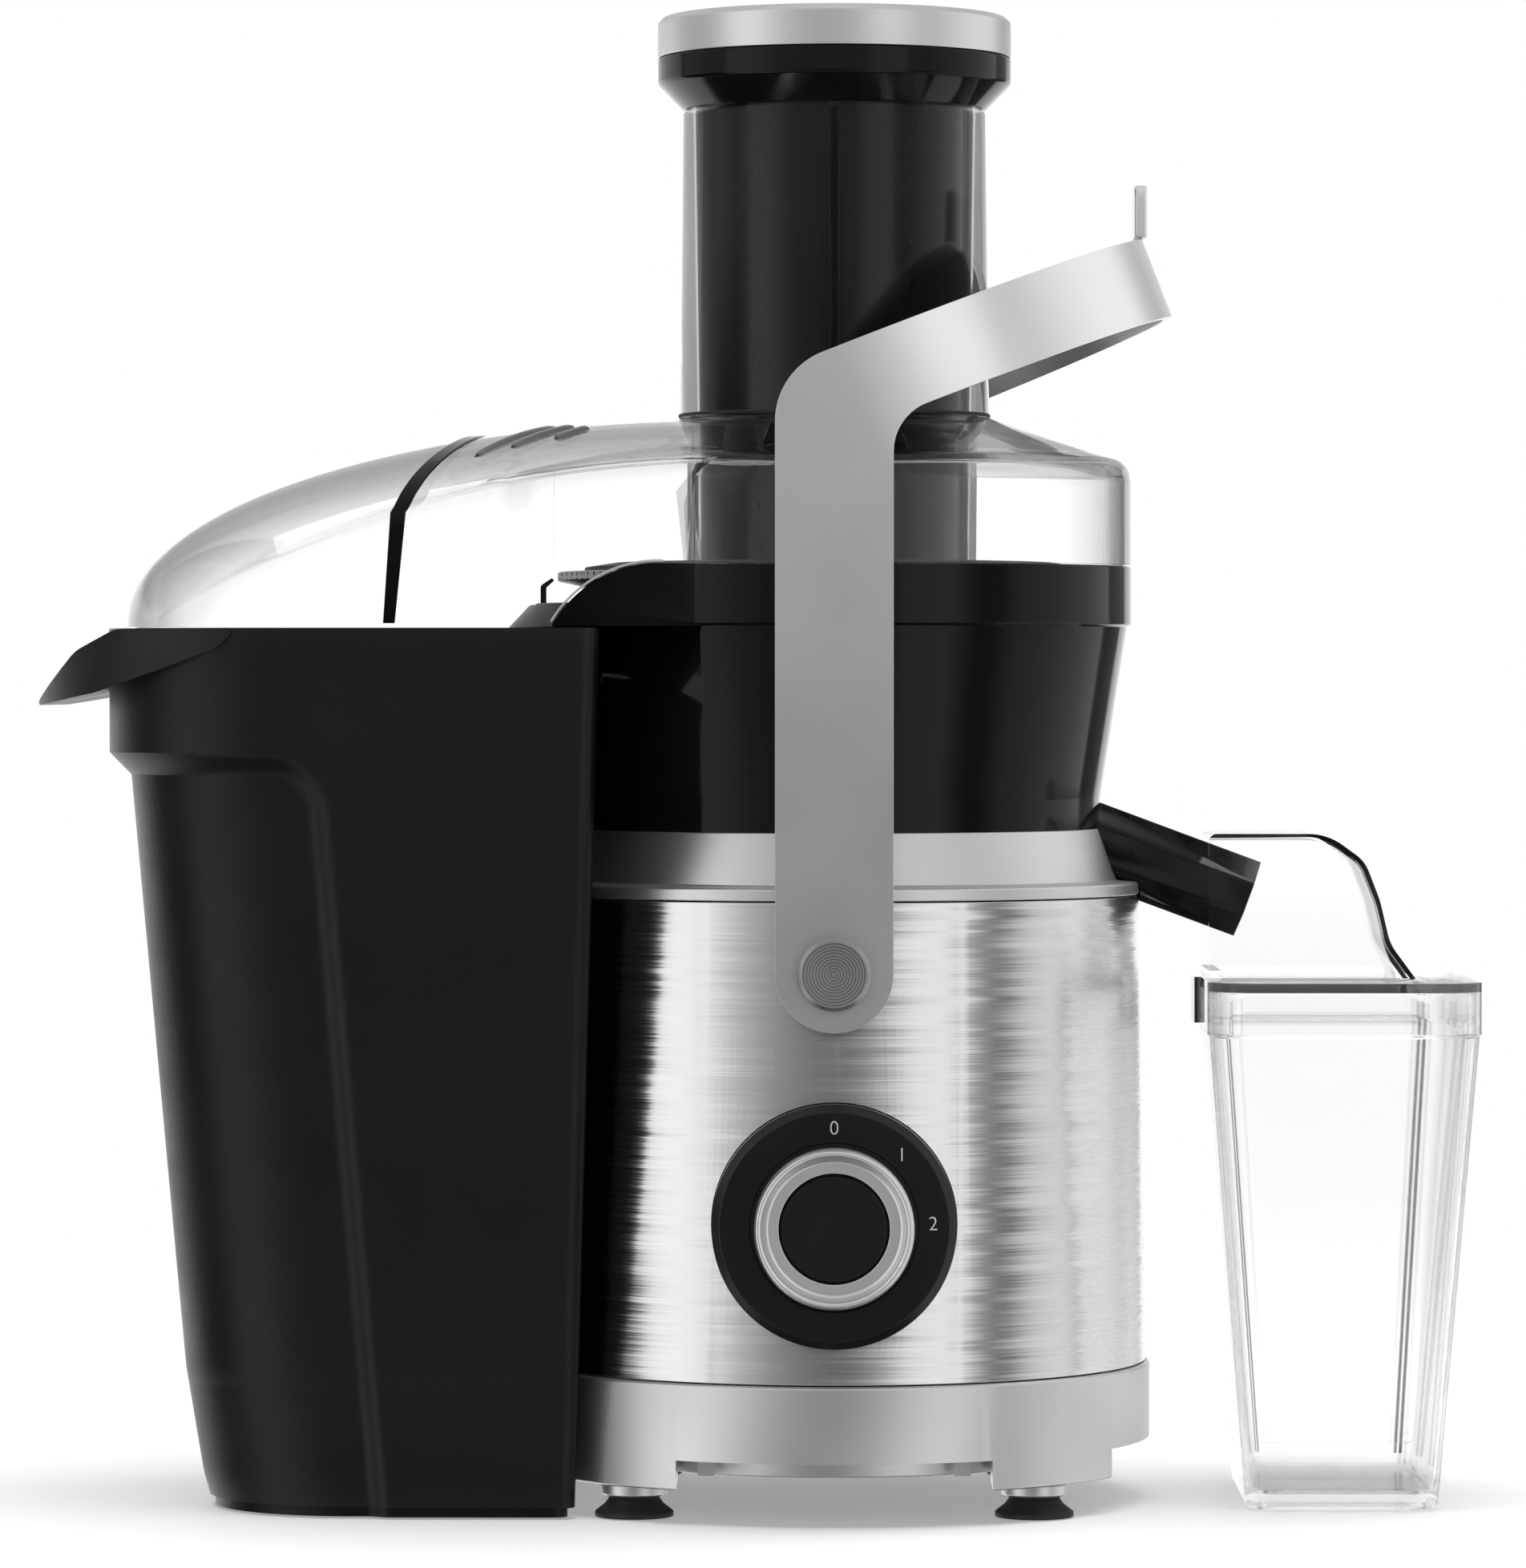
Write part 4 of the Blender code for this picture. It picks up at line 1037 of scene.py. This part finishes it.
def duct_seam():
    """The seal strip up the duct's front wall and over its roof to the crest, widest at the bend."""
    thickness = 0.75
    stations = []
    for i in range(9):
        z = 244 + 30 * i / 8
        stations.append((-117.8 - 2.6 * (277 - z) / 31, -DUCT_HALF, z, (0, -1, 0), 1.6 + 0.5 * i / 8))
    for i in range(1, 5):
        angle = math.pi / 2 * i / 5
        z = 274 + (duct_roof(-114.5, -70.5) - 274) * i / 5
        normal = (0, -math.cos(angle), math.sin(angle))
        stations.append((-117.8 + 0.65 * i, -DUCT_HALF + 3.5 * (i / 5) ** 2, z, normal, 2.1))
    for i in range(25):
        y = -70 + 70 * i / 24
        x = -99 - 17 * (y / DUCT_HALF) ** 2
        stations.append((x, y, duct_roof(x, y), (0, 0.25 * y / DUCT_HALF, 1), 2.1 - 0.6 * i / 24))
    sections = []
    for x, y, z, normal, half_width in stations:
        spot, out = Vector((x, y, z)), Vector(normal).normalized()
        left, right = spot - Vector((half_width, 0, 0)), spot + Vector((half_width, 0, 0))
        sections.append([left, left + out * thickness, right + out * thickness, right])
    bm = bmesh.new()
    loft_into(bm, sections)
    strip = piece_from("duct_seal", bm, "lid", GLOSS, ["duct_seam"])
    soften(strip, 0.25, 2)


# ---------------------------------------------------------------- the pulp bin

# The height, left edge and half depth of the bin from its rim down.
BIN_TAPER = [(242.7, -199.1, 88.0), (208.9, -199.1, 87.0), (202.8, -193.2, 86.0), (38, -179.8, 69.0)]
BIN_TAPER += [(36.6, -179.6, 68.3), (17, -176.6, 65.4), (9, -175.3, 64.9), (3, -173.7, 64.0)]
BIN_RECESS = 3.0


def at_height(table, z):
    """The (left, half) of the bin at z, from its table of heights."""
    for (z_high, *high), (z_low, *low) in zip(table, table[1:]):
        if z >= z_low:
            share = min(1.0, (z_high - z) / (z_high - z_low))
            return [a + (b - a) * share for a, b in zip(high, low)]
    return list(table[-1][1:])


def recess_share(x, z):
    """0 on the bin's flush panels and 1 in the recess left of its slanted step, which has a round corner."""
    below = 208.9 - z
    left = (-121 - 15 * z / 195) - x
    corner = 16.0
    if below < corner and left < corner:
        depth = corner - math.hypot(corner - left, corner - below)
    else:
        depth = min(left, below)
    share = max(0.0, min(1.0, depth / 6.2))
    return share * share * (3 - 2 * share)


def bin_ring(z, inset=0.0, recessed=True):
    """The bin's outline at z: wide round corners on its left, small ones on its right."""
    left, half = at_height(BIN_TAPER, z)
    right = -63.8 - 7 * (242.7 - z) / 242.7
    corner, small = 44 - inset, 4.0
    left, right, half = left + inset, right - inset, half - inset
    arc = circle(left + corner, half - corner, corner, 180, 90, 18)
    arc += [(x, half) for x in spread(left + corner, right - small, 60)][1:-1]
    arc += circle(right - small, half - small, small, 90, 0, 5)
    points = arc + [(x, -y) for x, y in reversed(arc)]
    if not recessed:
        return [(x, y, z) for x, y in points]
    shaped = []
    for x, y in points:
        depth = BIN_RECESS * recess_share(x, z) * min(1.0, max(0.0, (x - left) / corner))
        shaped.append((x, y - math.copysign(depth, y), z))
    return shaped


def spread(start, end, count):
    return [start + (end - start) * i / count for i in range(count + 1)]


def upright_cylinder(name, radius):
    """A helper cylinder about the motor axis, taller than the bin, that cuts its curved side."""
    return turned_tool(name, [(0, 270), (radius, 270), (radius, -10), (0, -10)])


def pulp_bin():
    """The bin: a tapered shell hollowed out, with a lip on its left and a side that curves round the base."""
    heights = spread(242.7, 210, 6) + spread(208.9, 202, 8) + spread(200, 180, 10) + spread(176, 42, 14)
    heights += [38, 36.6] + spread(34, 14, 6) + spread(11, 3, 3)
    sections = [bin_ring(z) for z in heights]
    foot = [(x * 0.965 - 4.6, y * 0.93, 0) for x, y, _ in sections[-1]]
    lifted = [(x, y, 3) for x, y, _ in foot]
    body = loft_tool("bin_shell", sections + [lifted, foot])
    inner = [bin_ring(z, 4.2, False) for z in (250, 242.7, 208.9, 202.8, 39, 31, 14, 6.5)]
    hollow = loft_tool("bin_hollow", inner)
    cut(hollow, upright_cylinder("curve", 94.4))
    outline = [(-161, 242.4, 1.0), (-195, 242.4, 9), (-207, 236.5, 12), (-221.3, 221.3, 0.8)]
    outline += [(-201, 225.2, 20), (-182, 231.5, 30), (-166, 237.2, 6)]
    lip = front_tool("bin_lip", rounded_path(outline, True, 8), 100)
    plan = [superbox(-221.3, -120, 88.9, 70, 2, z, 32) for z in (200, 260)]
    combine(lip, [("INTERSECT", loft_tool("lip_plan", plan))])
    curve = upright_cylinder("bin_curve", 92)
    combine(body, [("UNION", lip), ("DIFFERENCE", hollow), ("DIFFERENCE", curve)], 28)
    become(body, "bin_moulding", BIN_BLACK)
    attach(body, "bin")
    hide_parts("pulp_bin")


# ---------------------------------------------------------------- the juice jug and its lid

JUG_MIDDLE = (middle("jug_body").x - AXIS.x) / MM - 1.8


def jug_tool(name, levels):
    """A helper solid through rounded rectangles: each level's height, half sizes and corner radius."""
    rings = []
    for z, half_x, half_y, radius in levels:
        rings.append(superbox(JUG_MIDDLE - half_x, JUG_MIDDLE + half_x, half_y, radius, radius, z, 14))
    return loft_tool(name, rings)


def jug():
    """The clear jug, and the froth separator that stands in it."""
    top = top_of("jug_body")
    outer = [(top, 35.9, 54.2, 11), (top - 0.3, 36.1, 54.4, 11.2), (131.4, 36.1, 54.4, 11.2)]
    outer += [(130.9, 37.2, 55.4, 12), (6, 27.1, 42.6, 8.5), (1.2, 26.5, 42.0, 8)]
    outer += [(0.2, 25.3, 40.8, 7), (0.2, 23.0, 38.5, 6), (1.8, 22.4, 38.0, 5.5)]
    body = jug_tool("jug_shell", outer)
    inner = [(150, 34.1, 52.5, 9.6), (131.6, 34.1, 52.5, 9.6), (130.5, 35.1, 53.4, 10)]
    inner += [(9, 25.4, 40.9, 7), (5.6, 24.6, 40.1, 6.3), (4.4, 22.9, 38.4, 5)]
    cut(body, jug_tool("jug_inside", inner), sharp=30)
    become(body, "jug_moulding", CLEAR_JUG)
    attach(body, "jug")
    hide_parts("jug_body")
    low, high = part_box("froth_separator")
    right = [(24.4, 12, 3), (33.0, 128, 2), (29, 128, 1.5), (28.5, 134, 1.5)]
    outline = [(JUG_MIDDLE + x, z, radius) for x, z, radius in right]
    outline += [(JUG_MIDDLE - x, z, radius) for x, z, radius in reversed(right)]
    prism("froth_plate", outline, -high.y / MM, -low.y / MM, "jug", CLEAR_JUG, ["froth_separator"])


def crest_inside(crest):
    """The hood's outline moved in by the width of its dark side band of painted shade, and open at its foot
    and its back.
    """
    band = 1.2
    (left, foot), (_, top, _), *rest = crest
    inner = [(left - 5, foot - 9), (left - 5, top - band)]
    for x, z, radius in rest[:-1]:
        inner.append((x - band * 0.9, z - band * 0.7, max(2, radius - band)))
    x, z = rest[-1]
    return inner + [(x - band * 1.3, z, 0), (x - band * 1.3, foot - 9)]


def separator_rail_shades():
    """The ribs at the back of the jug that the froth separator slides between, with their cross bar, drawn as
    black and grey strips: painted shade for the dark lines that the jug's clear ribs show.
    """
    for end, side, top_x, foot_x in (("left", -1, 31.1, 22.8), ("right", 1, 29.6, 21.8)):
        bm = bmesh.new()
        for gap in (0.0, 1.5):
            sections = []
            for z, x, y in ((131.5, top_x, 50.5), (7, foot_x, 40.5)):
                x = JUG_MIDDLE + side * (x - gap)
                left, right, front = x - 0.45, x + 0.45, y - 1.2
                sections.append([(left, y, z), (right, y, z), (right, front, z), (left, front, z)])
            loft_into(bm, sections)
        piece_from(f"separator_rails_{end}", bm, "jug", GLOSS)
    bm = bmesh.new()
    for low, high in ((130.4, 131.0), (132.1, 132.6)):
        box_into(bm, (JUG_MIDDLE - 29.6, 49.6, low), (JUG_MIDDLE + 28.1, 50.4, high))
    for x in (-30.1, 28.2):
        box_into(bm, (JUG_MIDDLE + x - 1.1, 48.6, 131.2), (JUG_MIDDLE + x + 1.1, 50.4, 136.5))
    bar = piece_from("separator_bar_shade", bm, "jug", SHADED_CLEAR)


# The heights of the lid's plate, and half the width of the hood on it.
PLATE_FOOT, PLATE_TOP = 143.2, 145.9
HOOD_HALF = 23


def jug_lid():
    """The jug's plate with its skirt, its hood over the spout and its tab, with painted shade: dark cut edges
    on the plate and tab, and dark bands on the hood's sides.
    """
    top = top_of("jug_lid")
    half_x, half_y = 37.75, 57.0
    levels = [(foot_of("jug_lid"), 0.0), (PLATE_FOOT, 0.0), (PLATE_TOP - 0.5, 0.0)]
    levels += [(PLATE_TOP - 0.12, 0.15), (PLATE_TOP, 0.5)]
    skirt = [(z, half_x - 1.45, half_y - 1.7, 11.8) for z in (120, PLATE_FOOT)]
    plate = jug_tool("lid_plate", [(z, half_x - i, half_y - i, 13.5 - i) for z, i in levels])
    crest = [(103.9, PLATE_FOOT + 1), (103.9, top, 2.2), (136.8, top, 16), (147.2, 178.4, 10)]
    crest += [(151.4, 167.5, 30), (154.2, 155.5, 14), (162.5, PLATE_FOOT + 1)]
    edge = [(107.4, 130), (107.4, 148), (98, 148), (98, top - 1.8), (136.2, top - 1.8, 14.4)]
    edge += [(145.6, 177.4, 9), (149.7, 167.0, 30), (152.5, 155.0, 14), (155.8, 147.0, 4), (155.8, 130)]
    steps = [
        ("UNION", front_tool("hood", rounded_path(crest, True, 10), HOOD_HALF)),
        ("UNION", box_tool("tab", (100.6, -9, 133), (103.4, 9, PLATE_TOP - 0.1))),
        ("DIFFERENCE", jug_tool("skirt", skirt)),
        ("DIFFERENCE", front_tool("channel", rounded_path(edge, True, 10), HOOD_HALF - 1.7)),
    ]
    combine(plate, steps, 30)
    become(plate, "jug_cover", CLEAR_JUG)
    # Painted shade: the plate's and the tab's upright edges get the dark edge look.
    repaint(plate, on_plate_edge)
    repaint(plate, on_tab_edge)
    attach(plate, "jug_lid")
    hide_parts("jug_lid")

    # Painted shade: thin dark sheets on the hood's sides, for the dark edges of the clear hood.
    inside, outside = HOOD_HALF - 0.1, HOOD_HALF + 0.2
    for end, near, far in (("rear", -outside, -inside), ("front", inside, outside)):
        side_shade = prism(f"hood_bead_{end}", crest, near, far, "jug_lid", EDGE_SHADE, turns=10)
        cut(side_shade, front_tool("side_shade_inside", rounded_path(crest_inside(crest), True, 10), 30))


def on_plate_edge(face):
    """Whether this face is on the upright edge of the lid's plate, to the front of its hood."""
    edge = PLATE_FOOT * MM < face.center.z < (PLATE_TOP - 0.05) * MM
    return edge and face.center.y < -24 * MM and face.normal.z < 0.6


def on_tab_edge(face):
    """Whether this face is on the narrow sides of the tab at the lid's left."""
    low = face.center.z < (PLATE_TOP - 0.05) * MM
    return low and face.center.x < at(102.2, 0, 0).x and abs(face.normal.x) < 0.5


lid_shell()
lid_ribs()
painted_lid_edges()
grip_ribs()
lid_catches()
duct_seam()
pulp_bin()
jug()
separator_rail_shades()
jug_lid()


# ---------------------------------------------------------------- hidden and small CAD nodes

KEPT_MATERIALS = {
    MATTE: ["bottom_plate", "motor_deck", "speed_switch", "interlock_switch", "arm_spacer_front"]
    + ["arm_spacer_rear", "drive_coupling", "basket_hub", "cooling_fan", "knob_shaft"],
    RUBBER: ["motor_mount_1", "motor_mount_2", "motor_mount_3", "power_cord_gland"],
    BARE: ["stator_core", "motor_bracket_bottom", "motor_bracket_top", "bearing_bottom", "bearing_top"]
    + ["motor_bolt_left", "motor_bolt_right", "motor_shaft", "rotor_core"],
    COPPER: ["field_winding", "commutator"],
    BOARD: ["control_board"],
    CARBON: ["carbon_brush_left", "carbon_brush_right"],
}


def finish_kept_nodes():
    for material, names in KEPT_MATERIALS.items():
        for name in names:
            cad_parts[name].material_slots[0].material = material


# ---------------------------------------------------------------- the studio

FLOOR_DROP = 0.2
PANEL_RADIUS = 1.5
# Softboxes and flags all round: the angle from the front, towards the jug, and the strength there.
FRONT_RING = [(-112, 0), (-79, 0), (-76, 0.3), (-73, 1.35), (-58, 1.45), (-46, 1.2), (-36, 0.70)]
FRONT_RING += [(-20, 0.30), (-6, 0.14), (6, 0.14), (17, 0.44), (27, 1.15), (45, 1.3), (51, 0.6)]
FRONT_RING += [(57, 0.14), (64, 0.18), (75, 0.85), (100, 1.15), (130, 1.2)]
REAR_RING = [(150, 1.3), (178, 1.3), (210, 1.5), (242, 1.6)]
# Each row's height, with the least and the most that a light gives there.
FRONT_ROWS = [(1.7, 0.6, 2), (0.42, 0.6, 2), (0.30, 0, 2), (-0.6, 0, 2), (-0.8, 0.7, 2), (-1.6, 0.7, 2)]
REAR_ROWS = [(1.7, 0, 0.75), (0.55, 0, 0.75), (0.45, 0, 2), (-0.6, 0, 2), (-0.8, 0.7, 2), (-1.6, 0.7, 2)]


def glow():
    """A lamp whose strength is the mesh's own "strength" attribute."""
    material = bpy.data.materials.new("softbox")
    material.use_nodes = True
    graph = Graph(material.node_tree)
    graph.tree.nodes.clear()
    strength = graph.node("ShaderNodeAttribute", attribute_name="strength").outputs["Fac"]
    lamp = graph.first("ShaderNodeEmission", {"Strength": strength})
    graph.node("ShaderNodeOutputMaterial", {"Surface": lamp})
    return material


def studio_ring(name, table, rows, material, seen_through):
    """A curved wall of light about the motor axis, which only reflections see."""
    bm = bmesh.new()
    layer = bm.verts.layers.float.new("strength")
    columns = []
    for degrees, strength in table:
        angle = math.radians(degrees)
        x, y = AXIS.x + PANEL_RADIUS * math.sin(angle), -PANEL_RADIUS * math.cos(angle)
        column = []
        for height, least, most in rows:
            vert = bm.verts.new((x, y, height))
            vert[layer] = min(max(strength, least), most)
            column.append(vert)
        columns.append(column)
    for left, right in zip(columns, columns[1:]):
        for i in range(len(rows) - 1):
            bm.faces.new((left[i], right[i], right[i + 1], left[i + 1]))
    ring = piece_from(name, bm, None, None)
    ring.data.materials.append(material)
    ring.visible_camera = False
    ring.visible_transmission = seen_through
    ring.visible_shadow = False
    ring.visible_diffuse = False


def studio_floor():
    """A pale floor that turns to plain white well away from the object."""
    bm = bmesh.new()
    bmesh.ops.create_circle(bm, cap_ends=True, segments=96, radius=6)
    bmesh.ops.translate(bm, vec=(AXIS.x, 0, -FLOOR_DROP * MM), verts=bm.verts)
    floor = piece_from("floor", bm, None, None)
    s = Shader("floor_white", (0.80, 0.80, 0.80), 0.6)
    s.put("Specular IOR Level", 0.2)
    s.bump(s.noise(300, 2.0), 0.02, 0.0002)
    distance = s.node("ShaderNodeVectorMath", {0: s.place}, operation="LENGTH").outputs["Value"]
    s.mix_in(s.ranged(distance, 0.3, 1, 0.40, 1.0), s.first("ShaderNodeEmission"))
    floor.data.materials.append(s.material)
    floor.visible_glossy = False


def overhead_light():
    """A large softbox above the object, which lights it and isn't seen in reflections."""
    light = bpy.data.lights.new("overhead", "AREA")
    light.shape = "RECTANGLE"
    light.size, light.size_y = 2.4, 2.0
    light.energy = 95
    obj = bpy.data.objects.new("overhead", light)
    spot, aim = Vector((0.0, -0.1, 2.2)), Vector((0, 0, 0.2))
    obj.location = spot
    obj.rotation_euler = (aim - spot).to_track_quat("-Z", "Y").to_euler()
    obj.visible_camera = False
    obj.visible_glossy = False
    bpy.context.scene.collection.objects.link(obj)


def studio_world(lamp, below, level, above):
    """White where it is looked at, straight or through clear plastic, and grey as a light.

    Reflections see a room that is dark below the worktop and brighter towards the ceiling.
    """
    world = bpy.data.worlds.new("studio")
    world.use_nodes = True
    graph = Graph(world.node_tree)
    graph.tree.nodes.clear()
    path = graph.node("ShaderNodeLightPath").outputs
    place = graph.node("ShaderNodeTexCoord").outputs["Generated"]
    height = graph.node("ShaderNodeSeparateXYZ", {0: place}).outputs["Z"]

    def grey(value):
        return (value, value, value, 1)

    def ramp(stops):
        share = graph.node("ShaderNodeMapRange", {"From Min": -1.0, "Value": height}).outputs["Result"]
        made = graph.node("ShaderNodeValToRGB", {"Fac": share})
        while len(made.color_ramp.elements) < len(stops):
            made.color_ramp.elements.new(0.5)
        for element, (spot, value) in zip(made.color_ramp.elements, stops):
            element.position = (spot + 1) / 2
            element.color = grey(value)
        return made.outputs["Color"]

    def pick(chooser, otherwise, chosen):
        inputs = {"Factor": path[chooser], "A": otherwise, "B": chosen}
        return graph.node("ShaderNodeMix", inputs, data_type="RGBA").outputs["Result"]

    rising = [(-0.12, below), (0.06, level), (0.45, level * 1.2), (1, above)]
    room = ramp([(-1, 0.02), (-0.55, below / 2)] + rising)
    seen_through = ramp([(-1, 0.25), (-0.55, 0.35), (-0.35, 1), (0, 1.1), (0.45, 1), (0.75, 0.35), (1, 0.3)])
    colour = pick("Is Transmission Ray", grey(lamp), seen_through)
    colour = pick("Glossy Depth", colour, room)
    colour = pick("Diffuse Depth", colour, grey(lamp))
    colour = pick("Is Camera Ray", colour, grey(1.0))
    graph.node("ShaderNodeOutputWorld", {"Surface": graph.first("ShaderNodeBackground", {"Color": colour})})
    bpy.context.scene.world = world


def camera():
    """Level with the bowl, on the motor axis and a little over 2 m off."""
    data = bpy.data.cameras.new("camera")
    data.lens = 169.3
    data.sensor_width = 36
    obj = bpy.data.objects.new("camera", data)
    obj.location = (AXIS.x, -2.069, 0.2269)
    down, left = 0.758, 0.554
    obj.rotation_euler = (math.radians(90 - down), 0, math.radians(left))
    bpy.context.scene.collection.objects.link(obj)
    bpy.context.scene.camera = obj


def studio():
    studio_floor()
    lamp = glow()
    studio_ring("softboxes_front", FRONT_RING, FRONT_ROWS, lamp, True)
    studio_ring("softboxes_rear", REAR_RING, REAR_ROWS, lamp, False)
    overhead_light()
    studio_world(lamp=0.22, below=0.17, level=0.36, above=0.7)
    camera()
    bpy.context.scene.view_settings.view_transform = "Standard"


finish_kept_nodes()
studio()


def corners(box):
    return [list(corner) for corner in box]
